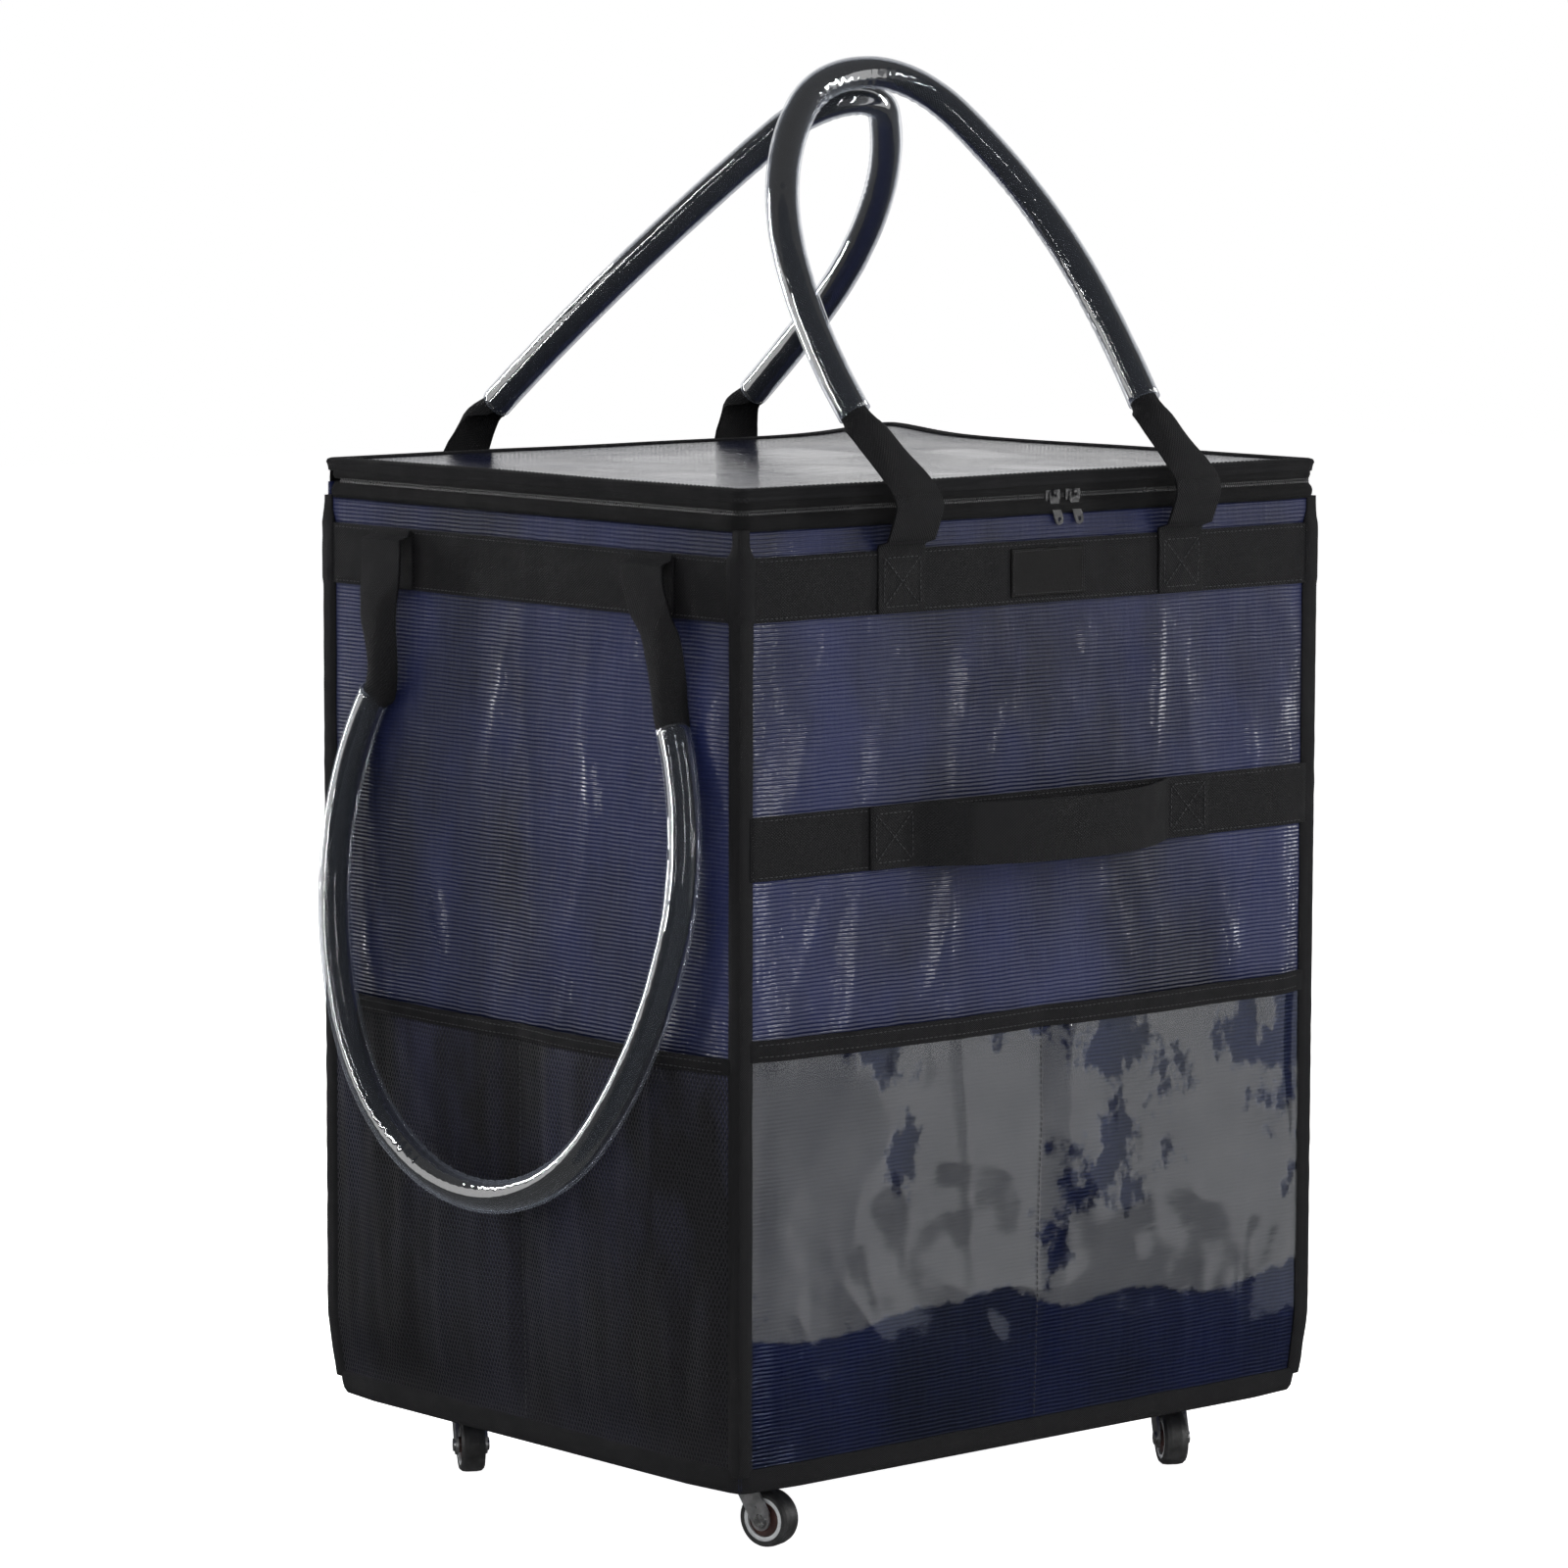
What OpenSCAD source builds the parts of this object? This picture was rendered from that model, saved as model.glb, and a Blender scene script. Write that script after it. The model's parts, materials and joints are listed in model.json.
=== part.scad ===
// Shopping trolley on wheels: a soft zip-top tote on four swivel casters, in mm.
// Z is up and the floor is z = 0. The front face looks along -Y, the side pull handle is on -X.

/* [Body] */
// Width of the bag across its front
body_w = 440; // [360:1:520]
// Depth of the bag from front to back
body_d = 368; // [300:1:440]
// Height of the bottom seam above the floor
ride_h = 45; // [38:1:70]
// Height of the top of the lid above the floor
lid_z = 594.4; // [500:0.1:680]
// Thickness of the laminated panels
panel_t = 1.5; // [1:0.1:2.5]
// Thickness of the hard board in the base
board_t = 4; // [2:0.5:8]

/* [Webbing] */
// Width of the webbing
web_w = 35; // [25:1:50]
// Thickness of the bands sewn round the body
band_t = 2.2; // [1.6:0.1:3]
// Thickness of one layer of webbing
web_t = 1.6; // [1:0.1:2]
// Height of the lower edge of the upper band
band_z = 522.5; // [460:0.5:560]
// Height of the lower edge of the band across the front
mid_z = 382; // [330:1:430]
// Width of the binding on the upright corners
bind_w = 9; // [6:0.5:16]
// Thickness of the bindings
bind_t = 0.8; // [0.5:0.1:1.2]
// How far the front grab handle stands out
grab_out = 24; // [12:1:40]

/* [Pockets] */
// Height of the top of the clear front pocket
pocket_z = 295; // [220:1:340]
// How far the clear pocket bulges
pocket_gap = 8; // [4:0.5:14]
// Height of the top of the side pockets
mesh_z = 285; // [220:1:340]
// How far the side pockets bulge
mesh_gap = 6.5; // [4:0.5:10]
// Thickness of the pocket sheets
sheet_t = 0.8; // [0.5:0.1:1.2]

/* [Hose handles] */
// Outside radius of the clear hose
hose_r = 9.5; // [8:0.1:12]
// Wall of the clear hose
hose_wall = 1.2; // [0.8:0.1:2]
// Radius of the folded webbing inside the hose
core_r = 6.8; // [5:0.1:7.5]
// Distance of the sewn ends of the front and back handles from the centre
end_x = 107; // [90:1:130]
// Distance of the sewn ends of the pull handle from the centre
pull_y = 116; // [90:1:130]

/* [Zipper] */
// Height of the line where the two zipper chains meet
zip_z = 582; // [560:0.5:600]
// Length of the pull tabs
tab_l = 18; // [12:1:26]

/* [Casters] */
// Diameter of the wheels
wheel_d = 32; // [28:1:45]
// Width of the tyres
wheel_w = 14; // [10:0.5:18]
// Distance of the axle behind the swivel pin
trail = 13; // [9:0.5:16]
// Inset of each swivel pin from the sides of the bag
caster_in = 57; // [45:1:80]
// Radius of the axle
axle_r = 2.2; // [1.8:0.1:3]

/* [Hidden] */
shift = [14.24, 9.7, 0];
hw = body_w / 2;
hd = body_d / 2;
top_z = zip_z - 9;
bot_z = ride_h;
seam_z = ride_h + 13;
strap_y = hd + band_t + web_t / 2;
lid_t = 1.4;
front_m = [-189, 621];
front_a = [-50, 817];
back_m = [186, 612];
back_a = [-31, 802];
pull_top = [-227, 520.5];
pull_low = [-247, 188];
front_left = [[93, 42], [194, 36], [295, 22]];
front_right = [[62, 58], [270, 28], [637, 8]];
back_left = [[45, 70], [1200, 12]];
back_right = [[36.7, 50.2], [305.7, 39.4], [1034, 4]];
pull_left = [[137, 65], [207, 40], [207, 26]];
pull_right = [[135, 49.5], [281, 25.2], [183, 48]];
wheel_z = wheel_d / 2;
pin_r = 3;
fit = 0.06;
mouth_r = hose_r - hose_wall - 0.6;
sewn_h = web_w - 5;
corners = [[-1, -1, -164], [1, -1, 149], [-1, 1, 149], [1, 1, 160]];

// Puts the middle of the bounding box over the origin
module placed() translate(shift) children();

function len2(a, b) = norm(b - a);
function lean(a, b) = atan2(b[1] - a[1], b[0] - a[0]);

// Puts a shape drawn for the front (outward is -Y from y = 0) on face i: 0 front, 1 right, 2 back, 3 left
module on_face(i) {
    d = i % 2 == 0 ? hd : hw;
    rotate([0, 0, [0, 90, 180, -90][i]]) translate([0, -d, 0]) children();
}

// A rectangle reaching out past the bag's outline by o
module outline(o) {
    square([body_w + 2 * o, body_d + 2 * o], center = true);
}

// A wall that follows the outline from o0 to o1
module ring(o0, o1, z0, z1) {
    translate([0, 0, z0]) linear_extrude(z1 - z0) difference() {
        outline(o1);
        outline(o0);
    }
}

// The same wall on the front and both sides only
module u_ring(o0, o1, z0, z1) {
    difference() {
        ring(o0, o1, z0, z1);
        translate([-hw - 9, hd - panel_t, z0 - 1]) cube([body_w + 18, 19, z1 - z0 + 2]);
    }
}

// The two corner folds, one of each side of an upright edge
module corner_fold(z0, z1) {
    translate([0, 0, z0]) linear_extrude(z1 - z0) difference() {
        outline(bind_t);
        outline(0);
        square([body_w + 9, body_d - 2 * bind_w], center = true);
        square([body_w - 2 * bind_w, body_d + 9], center = true);
    }
}

// Plan of webbing bowed out from x0 to x1 by g, t thick
module bulge(x0, x1, g, t) {
    c = (x1 - x0) / 2;
    r = (c * c + g * g) / (2 * g);
    intersection() {
        translate([(x0 + x1) / 2, r - g]) difference() {
            circle(r = r, $fn = 360);
            circle(r = r - t, $fn = 360);
        }
        translate([x0, -g - t - 1]) square([x1 - x0, g + t + 1]);
    }
}

// How far a sheet with two pouches, each w wide, stands off at x
function puff(x, w, g) = g * (1 - pow(2 * abs(x) / w - 1, 2));

// Plan of the sheet, o thicker outwards and i thinner from inside, or filled back to the panel
module pouch_plan(w, g, o, i, filled = false) {
    xs = [for (k = [-12:12]) k * w / 12];
    polygon(concat([for (x = xs) [x, -puff(x, w, g) - sheet_t - o]],
        filled ? [[w, 0], [-w, 0]] : [for (k = [24:-1:0]) [xs[k], -i - puff(xs[k], w, g)]]));
}

// Two pouches with a closed foot
module pouches(w, g, z1) translate([0, 0, seam_z]) {
    linear_extrude(z1 - seam_z) pouch_plan(w, g, 0, 0);
    linear_extrude(sheet_t) pouch_plan(w, g, 0, 0, true);
}

// The binding over the top edge of two pouches
module pouch_edge(w, g, z0, z1) {
    translate([0, 0, z0]) linear_extrude(z1 - z0) pouch_plan(w, g, 0.7, sheet_t);
    translate([0, 0, z1 - 0.8]) linear_extrude(0.8) pouch_plan(w, g, 0.7, 0);
}

// Spots [x, y, heading] along arcs [radius, angle] that start at the origin heading +X and turn
// down; the last arc ends at depth d
function spine(path, d, i = 0, x = 0, y = 0, h = 0) = let(
    r = path[i][0],
    last = i == len(path) - 1,
    a = last ? acos(cos(h) - d / r) - h : path[i][1],
    part = [for (k = [1:5]) let(t = h + a * k / 5)
        [x + r * (sin(t) - sin(h)), y - r * (cos(h) - cos(t)), t]],
    end = part[4])
    last ? part : concat(part, spine(path, d + end[1] - y, i + 1, end[0], end[1], h + a));

// The whole loop, from the foot of the left leg over the top to the foot of the right one
function loop(left, right, d) = let(l = spine(left, d), n = len(l)) concat(
    [for (k = [n - 1:-1:0]) [-l[k][0], l[k][1], -l[k][2]]], [[0, 0, 0]], spine(right, d));

function hoop(p, r) = [for (k = [0:15]) let(u = k * 22.5)
    [p[0] + r * cos(u) * sin(p[2]), p[1] + r * cos(u) * cos(p[2]), r * sin(u)]];
function skin(n, o, flip) = [for (i = [0:n - 2], k = [0:15])
    let(q = o + i * 16 + k, w = o + i * 16 + (k + 1) % 16)
        flip ? [q, q + 16, w + 16, w] : [q, w, w + 16, q + 16]];

// A solid rod along the loop, with radius r, or r_end near its two feet
module rod(way, r, r_end) {
    n = len(way);
    polyhedron(
        points = [for (i = [0:n - 1]) each hoop(way[i], i < 2 || i > n - 3 ? r_end : r)],
        faces = concat(skin(n, 0, true), [[for (k = [0:15]) k]],
            [[for (k = [15:-1:0]) (n - 1) * 16 + k]]));
}

// A hollow hose along the loop
module hose(way) {
    n = len(way);
    m = n * 16;
    polyhedron(
        points = [for (r = [hose_r, hose_r - hose_wall], p = way) each hoop(p, r)],
        faces = concat(skin(n, 0, true), skin(n, m, false),
            [for (k = [0:15]) [k, (k + 1) % 16, m + (k + 1) % 16, m + k]],
            [for (k = [0:15]) let(q = m - 16 + k, w = m - 16 + (k + 1) % 16) [q, m + q, m + w, w]]));
}

// One flat length of webbing between two spots [x, y, z], each w wide and t thick
module web_leg(a, b, wa, wb, ta, tb) {
    hull() {
        translate(a) cube([wa, ta, 0.1], center = true);
        translate(b) cube([wb, tb, 0.1], center = true);
    }
}

// ---- base ----
module screw_spots() {
    for (c = corners, i = [-1, 1], j = [-1, 1])
        translate([c[0] * (hw - caster_in) + 12 * i, c[1] * (hd - caster_in) + 12 * j, 0])
            children();
}
module pin_spots() {
    for (c = corners) translate([c[0] * (hw - caster_in), c[1] * (hd - caster_in), 0]) children();
}
module base_board() color([0.15, 0.14, 0.14]) placed() difference() {
    translate([6 - hw, 6 - hd, bot_z + panel_t]) cube([body_w - 12, body_d - 12, board_t]);
    screw_spots() translate([0, 0, bot_z]) cylinder(r = 1.5, h = 5, $fn = 24);
}
module floor_panel() color([0.12, 0.14, 0.30]) placed() difference() {
    translate([-hw, -hd, bot_z]) cube([body_w, body_d, panel_t]);
    screw_spots() translate([0, 0, bot_z - 1]) cylinder(r = 1.6, h = 4, $fn = 24);
    pin_spots() translate([0, 0, bot_z - 1]) cylinder(r = 5.2, h = 4, $fn = 36);
}
module base_binding() color([0.08, 0.08, 0.09]) placed() {
    ring(0, 1, bot_z - 1, seam_z);
    ring(-11, 0, bot_z - 1, bot_z);
}

// ---- panels ----
module front_panel() color([0.12, 0.14, 0.30]) placed() on_face(0)
    translate([-hw, 0, bot_z + panel_t]) cube([body_w, panel_t, top_z - bot_z - panel_t]);
module back_panel() color([0.12, 0.14, 0.30]) placed() on_face(2)
    translate([-hw, 0, bot_z + panel_t]) cube([body_w, panel_t, zip_z - 1.4 - bot_z - panel_t]);
module side_panel(i) on_face(i)
    translate([panel_t - hd, 0, bot_z + panel_t])
        cube([body_d - 2 * panel_t, panel_t, top_z - bot_z - panel_t]);
module left_panel() color([0.12, 0.14, 0.30]) placed() side_panel(3);
module right_panel() color([0.12, 0.14, 0.30]) placed() side_panel(1);
module corner_bindings() color([0.08, 0.08, 0.09]) placed() corner_fold(seam_z, top_z);

// ---- bands ----
module upper_band() color([0.06, 0.06, 0.07]) placed() difference() {
    ring(0, band_t, band_z, band_z + web_w);
    corner_fold(band_z - 1, band_z + web_w + 1);
}
module front_band() color([0.06, 0.06, 0.07]) placed() on_face(0)
    translate([bind_w - hw, -band_t, mid_z]) cube([body_w - 2 * bind_w, band_t, web_w]);
module front_grab_handle() color([0.06, 0.06, 0.07]) placed() on_face(0) translate([0, -band_t, mid_z]) {
    for (s = [-1, 1]) translate([s * 112.5 - 17.5, -web_t, 0]) cube([35, web_t, web_w]);
    linear_extrude(web_w) bulge(-96, 96, grab_out, web_t);
}
module label_patch() color([0.10, 0.10, 0.10]) placed() on_face(0)
    translate([-28, -band_t - 0.8, band_z + 4]) cube([56, 0.8, 27]);
module handle_sewn_ends() color([0.06, 0.06, 0.07]) placed() {
    for (i = [0, 2], s = [-1, 1]) on_face(i)
        translate([s * end_x - web_w / 2, -band_t - web_t, band_z]) cube([web_w, web_t, sewn_h]);
    for (s = [-1, 1]) on_face(3)
        translate([s * pull_y - web_w / 2, -band_t - web_t, band_z]) cube([web_w, web_t, web_w]);
}

// ---- pockets ----
module front_pocket() color([0.75, 0.78, 0.82, 0.4]) placed() on_face(0)
    pouches(hw - bind_w, pocket_gap, pocket_z - 0.8);
module front_pocket_binding() color([0.06, 0.06, 0.07]) placed() on_face(0)
    pouch_edge(hw - bind_w, pocket_gap, pocket_z - 12, pocket_z);
module left_mesh_pocket() color([0.05, 0.05, 0.06]) placed() on_face(3)
    pouches(hd - bind_w, mesh_gap, mesh_z - 0.8);
module right_mesh_pocket() color([0.05, 0.05, 0.06]) placed() on_face(1)
    pouches(hd - bind_w, mesh_gap, mesh_z - 0.8);
module mesh_pocket_bindings() color([0.05, 0.05, 0.06]) placed() for (i = [1, 3]) on_face(i)
    pouch_edge(hd - bind_w, mesh_gap, mesh_z - 10, mesh_z);

// ---- zipper ----
module zipper_tape_lower() color([0.05, 0.05, 0.05]) placed()
    u_ring(-panel_t - 0.8, -panel_t, zip_z - 20, zip_z - 0.9);
module zipper_chain_lower() color([0.10, 0.10, 0.10]) placed() u_ring(-panel_t, 0, zip_z - 2.6, zip_z - 0.2);
module zipper_chain_upper() color([0.10, 0.10, 0.10]) placed() u_ring(-panel_t, 0, zip_z + 0.2, zip_z + 2.6);
module zipper_tape_upper() color([0.05, 0.05, 0.05]) placed()
    u_ring(-panel_t - 0.8, -panel_t, zip_z + 0.9, lid_z - 1 - lid_t);

// A slider plate in front of the chain with a lip under it and a bridge for the tab
module slider(x) on_face(0) translate([x, 0, zip_z]) {
    translate([-5.5, -1.3, -4]) cube([11, 1, 7.3]);
    translate([-4, -1.3, -4]) cube([8, 2.4, 1.1]);
    translate([0, -1.3, 1.6]) rotate([0, 90, 0]) difference() {
        translate([0, 0, -0.9]) cylinder(r = 2.1, h = 1.8, $fn = 32);
        translate([0, 0, -2]) cylinder(r = 1.2, h = 4, $fn = 24);
        translate([-3, 0, -2]) cube([6, 4, 4]);
    }
}
// A tab whose bar turns in the bridge; it hangs aslant
module tab(x) on_face(0) translate([x, 0, zip_z + 1.6]) {
    translate([-3.1, -1.9, 0]) rotate([0, 90, 0]) cylinder(r = 0.4, h = 6.2, $fn = 20);
    for (s = [-1, 1]) translate([s * 2.75 - 0.35, -2.3, -4.2]) cube([0.7, 0.8, 4.5]);
    translate([0, -1.5, -4]) rotate([90, 0, 0]) linear_extrude(0.8) rotate(22) difference() {
        union() {
            translate([-3.1, -tab_l + 6]) square([6.2, tab_l - 5]);
            translate([0, -tab_l + 6]) circle(r = 3.1, $fn = 40);
        }
        translate([0, -tab_l + 6]) circle(r = 1.3, $fn = 28);
    }
}
module zip_slider_left() color([0.08, 0.08, 0.09]) placed() slider(9.5);
module zip_slider_right() color([0.08, 0.08, 0.09]) placed() slider(25);
module zip_pull_left() color([0.08, 0.08, 0.09]) placed() tab(9.5);
module zip_pull_right() color([0.08, 0.08, 0.09]) placed() tab(25);

// ---- lid ----
module lid_panel() color([0.12, 0.14, 0.30]) placed()
    translate([0.5 - hw, 0.5 - hd, lid_z - 1 - lid_t]) cube([body_w - 1, body_d - 1, lid_t]);
module lid_binding() color([0.06, 0.06, 0.07]) placed() {
    ring(-10, 0.6, lid_z - 1, lid_z);
    ring(-0.5, 0.6, lid_z - 1 - lid_t, lid_z - 1);
    u_ring(-panel_t, 0.6, zip_z + 3.6, lid_z - 1 - lid_t);
}
module lid_hinge_strip() color([0.06, 0.06, 0.07]) placed()
    translate([3 - hw, hd - 1.4, zip_z + 0.4]) cube([body_w - 6, 1.2, lid_z - 1.4 - lid_t - zip_z]);

// ---- front, back and side handles ----
module front_strap_ends() color([0.06, 0.06, 0.07]) placed() for (e = [[-end_x, -128], [end_x, 83]]) {
    web_leg([e[0], -strap_y, band_z + web_w + 0.4], [e[0] * 0.7 + e[1] * 0.3, -hd - 11, 588],
        web_w, 30, web_t, web_t);
    web_leg([e[0] * 0.7 + e[1] * 0.3, -hd - 11, 588], [e[1], front_m[0], front_m[1] - 0.8],
        30, 15, web_t, 6);
}
module front_at() translate([-9, front_a[0], front_a[1]])
    rotate([lean(front_m, front_a), 0, 0]) children();
module front_handle_webbing() color([0.06, 0.06, 0.07]) placed() front_at()
    rod(loop(front_left, front_right, len2(front_m, front_a) - 5), core_r, mouth_r);
module front_handle_hose() color([0.85, 0.87, 0.9, 0.35]) placed() front_at()
    hose(loop(front_left, front_right, len2(front_m, front_a) - 14));
module back_strap_ends() color([0.06, 0.06, 0.07]) placed() for (e = [[-end_x, -104], [end_x, 98]]) {
    web_leg([e[0], strap_y, band_z + web_w + 0.4], [e[0], hd + 6, 592], web_w, 28, web_t, web_t);
    web_leg([e[0], hd + 6, 592], [e[1], back_m[0] + 1, back_m[1] - 0.8], 28, 15, web_t, 5);
}
module back_at() translate([1, back_a[0], back_a[1]])
    rotate([lean(back_m, back_a), 0, 0]) children();
module back_handle_webbing() color([0.06, 0.06, 0.07]) placed() back_at()
    rod(loop(back_left, back_right, len2(back_m, back_a) - 6), core_r, mouth_r);
module back_handle_hose() color([0.85, 0.87, 0.9, 0.35]) placed() back_at()
    hose(loop(back_left, back_right, len2(back_m, back_a) - 16));
module pull_at() translate([pull_low[0], 12, pull_low[1]]) rotate([0, 0, -90])
    rotate([lean(pull_top, pull_low), 0, 0]) children();
module pull_handle_webbing() color([0.06, 0.06, 0.07]) placed() {
    pull_at() rod(loop(pull_left, pull_right, 286), core_r, mouth_r);
    for (e = [[-pull_y, -132], [pull_y, 119]])
        web_leg([pull_top[0], e[0], band_z - 0.6], [-229.7, e[1], 476], web_t, web_t, web_w, 15);
}
module pull_handle_hose() color([0.85, 0.87, 0.9, 0.35]) placed() pull_at()
    hose(loop(pull_left, pull_right, 276));

// ---- casters ----
module caster_plates() color([0.62, 0.63, 0.65]) placed() difference() {
    pin_spots() {
        translate([-17, -17, bot_z - 2.8]) cube([34, 34, 1.8]);
        translate([0, 0, bot_z - 4.8]) cylinder(r = 10.5, h = 2.2, $fn = 64);
    }
    screw_spots() translate([0, 0, bot_z - 4]) cylinder(r = 1.6, h = 5, $fn = 24);
    pin_spots() translate([0, 0, bot_z - 6]) cylinder(r = pin_r, h = 8, $fn = 36);
}
module caster_screws() color([0.70, 0.70, 0.72]) placed() screw_spots() {
    translate([0, 0, bot_z - 4.2]) cylinder(r = 2.8, h = 1.4, $fn = 32);
    translate([0, 0, bot_z - 3]) cylinder(r = 1.5, h = 8, $fn = 24);
}
module caster_kingpins() color([0.70, 0.70, 0.72]) placed() pin_spots() {
    translate([0, 0, bot_z - 11]) cylinder(r = pin_r, h = 10, $fn = 36);
    translate([0, 0, bot_z - 12.2]) cylinder(r = 5.4, h = 1.6, $fn = 36);
    translate([0, 0, bot_z - 1]) cylinder(r = 5, h = 1.4, $fn = 36);
}
module at_caster(i) translate([corners[i][0] * (hw - caster_in), corners[i][1] * (hd - caster_in), 0])
    rotate([0, 0, corners[i][2]]) children();
module across(x0, x1, r) translate([x0, trail, wheel_z]) rotate([0, 90, 0])
    cylinder(r = r, h = x1 - x0, $fn = 48);
module fork(i) color([0.66, 0.67, 0.69]) placed() at_caster(i) difference() {
    union() {
        translate([0, 0, bot_z - 10.4]) cylinder(r = 11, h = 1.8, $fn = 64);
        translate([0, 0, bot_z - 8.6]) cylinder(r = 9, h = 3.5, $fn = 64);
        translate([0, 0, bot_z - 8.8]) rotate([180, 0, 0]) translate([-9.4, -9, 0])
            cube([18.8, 16, 1.6]);
        for (s = [-1, 1]) translate([s * 8.6 - 0.8, 0, 0]) rotate([90, 0, 90])
            linear_extrude(1.6) {
                polygon([[-6, bot_z - 8.8], [9, bot_z - 8.8], [trail + 5.5, wheel_z + 5],
                    [trail + 5.5, wheel_z - 2], [trail - 5.5, wheel_z - 2]]);
                translate([trail, wheel_z]) circle(r = 5.9, $fn = 48);
            }
    }
    translate([0, 0, bot_z - 12]) cylinder(r = pin_r + fit, h = 12, $fn = 36);
    across(-12, 12, axle_r);
}
module axle(i) color([0.55, 0.56, 0.58]) placed() at_caster(i) {
    across(-10.2, 10.2, axle_r);
    for (s = [-1, 1]) across(s * 10 - 0.6, s * 10 + 0.6, 3.8);
}
module hub(i) color([0.30, 0.12, 0.10]) placed() at_caster(i) difference() {
    union() {
        across(-5.2, 5.2, wheel_d / 2 - 3.6);
        across(-7.4, 7.4, 4.6);
        difference() {
            across(-wheel_w / 2 + 0.4, wheel_w / 2 - 0.4, wheel_d / 2 - 3.6);
            across(-wheel_w, wheel_w, wheel_d / 2 - 6);
        }
    }
    across(-12, 12, axle_r + fit);
}
module tyre(i) color([0.07, 0.07, 0.07]) placed() at_caster(i) translate([0, trail, wheel_z])
    rotate([0, 90, 0]) rotate_extrude($fn = 96) polygon([
        [wheel_d / 2 - 3.6, -wheel_w / 2], [wheel_d / 2 - 1.6, -wheel_w / 2],
        [wheel_d / 2 - 0.4, -wheel_w / 2 + 1.4], [wheel_d / 2, -wheel_w / 2 + 4],
        [wheel_d / 2, wheel_w / 2 - 4], [wheel_d / 2 - 0.4, wheel_w / 2 - 1.4],
        [wheel_d / 2 - 1.6, wheel_w / 2], [wheel_d / 2 - 3.6, wheel_w / 2]]);

base_board();
floor_panel();
front_panel();
back_panel();
left_panel();
right_panel();
corner_bindings();
base_binding();
upper_band();
front_band();
front_grab_handle();
label_patch();
front_pocket();
front_pocket_binding();
left_mesh_pocket();
right_mesh_pocket();
mesh_pocket_bindings();
zipper_tape_lower();
zipper_chain_lower();
handle_sewn_ends();
caster_plates();
caster_screws();
caster_kingpins();
lid_panel();
lid_binding();
lid_hinge_strip();
zipper_tape_upper();
zipper_chain_upper();
zip_slider_left();
zip_slider_right();
zip_pull_left();
zip_pull_right();
front_strap_ends();
front_handle_webbing();
front_handle_hose();
back_strap_ends();
back_handle_webbing();
back_handle_hose();
pull_handle_webbing();
pull_handle_hose();
fork(0);  // fork_fl
axle(0);  // axle_fl
hub(0);  // hub_fl
tyre(0);  // tyre_fl
fork(1);  // fork_fr
axle(1);  // axle_fr
hub(1);  // hub_fr
tyre(1);  // tyre_fr
fork(2);  // fork_bl
axle(2);  // axle_bl
hub(2);  // hub_bl
tyre(2);  // tyre_bl
fork(3);  // fork_br
axle(3);  // axle_br
hub(3);  // hub_br
tyre(3);  // tyre_br
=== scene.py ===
"""A soft zip-top shopping tote on four swivel casters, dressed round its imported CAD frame.

Metres, Z up. The front looks along -Y, the pull handle hangs on the left face, -X.
"""

import json
import math

import bpy
import numpy as np
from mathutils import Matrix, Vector, noise

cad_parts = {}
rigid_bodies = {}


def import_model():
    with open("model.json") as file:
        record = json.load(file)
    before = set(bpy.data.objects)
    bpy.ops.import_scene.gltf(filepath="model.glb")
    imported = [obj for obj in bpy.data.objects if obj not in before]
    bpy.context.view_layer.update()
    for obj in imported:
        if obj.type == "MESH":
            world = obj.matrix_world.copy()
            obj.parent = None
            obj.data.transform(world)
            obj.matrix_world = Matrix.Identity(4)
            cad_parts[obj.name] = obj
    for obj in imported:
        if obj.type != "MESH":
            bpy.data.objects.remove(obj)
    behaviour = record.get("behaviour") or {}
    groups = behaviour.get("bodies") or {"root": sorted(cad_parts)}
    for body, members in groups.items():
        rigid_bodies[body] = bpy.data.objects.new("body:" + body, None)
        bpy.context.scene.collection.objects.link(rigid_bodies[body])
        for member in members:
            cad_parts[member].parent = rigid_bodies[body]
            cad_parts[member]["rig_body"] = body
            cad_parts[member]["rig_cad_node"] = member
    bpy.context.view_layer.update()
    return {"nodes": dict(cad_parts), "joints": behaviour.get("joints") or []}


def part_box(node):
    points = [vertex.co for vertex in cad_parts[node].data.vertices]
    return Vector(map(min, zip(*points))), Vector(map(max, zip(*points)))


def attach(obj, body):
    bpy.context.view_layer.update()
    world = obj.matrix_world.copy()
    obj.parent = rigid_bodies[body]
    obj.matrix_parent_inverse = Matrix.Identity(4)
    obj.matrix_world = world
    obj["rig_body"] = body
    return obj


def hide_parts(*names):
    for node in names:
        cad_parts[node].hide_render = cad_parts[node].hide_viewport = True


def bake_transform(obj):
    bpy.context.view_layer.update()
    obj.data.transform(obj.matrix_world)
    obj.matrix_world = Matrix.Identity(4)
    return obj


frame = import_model()
MM = 0.001

# ---- the sizes that everything is worked out from, read from the frame ----
FLOOR_LO, FLOOR_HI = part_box("floor_panel")
CX, CY = (FLOOR_LO.x + FLOOR_HI.x) / 2, (FLOOR_LO.y + FLOOR_HI.y) / 2
HW, HD = (FLOOR_HI.x - FLOOR_LO.x) / 2, (FLOOR_HI.y - FLOOR_LO.y) / 2
BOT_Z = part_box("base_binding")[0].z
SEAM_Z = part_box("base_binding")[1].z
TOP_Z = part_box("front_panel")[1].z
BACK_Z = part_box("back_panel")[1].z
BAND_Z, BAND_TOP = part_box("upper_band")[0].z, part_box("upper_band")[1].z
MID_Z, MID_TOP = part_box("front_band")[0].z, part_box("front_band")[1].z
ZIP_Z = (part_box("zipper_chain_lower")[1].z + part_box("zipper_chain_upper")[0].z) / 2
LID_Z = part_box("lid_panel")[1].z
POCKET_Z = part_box("front_pocket_binding")[1].z
MESH_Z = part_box("mesh_pocket_bindings")[1].z
BAND_T = 2.2 * MM
WEB_T = 1.6 * MM
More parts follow.
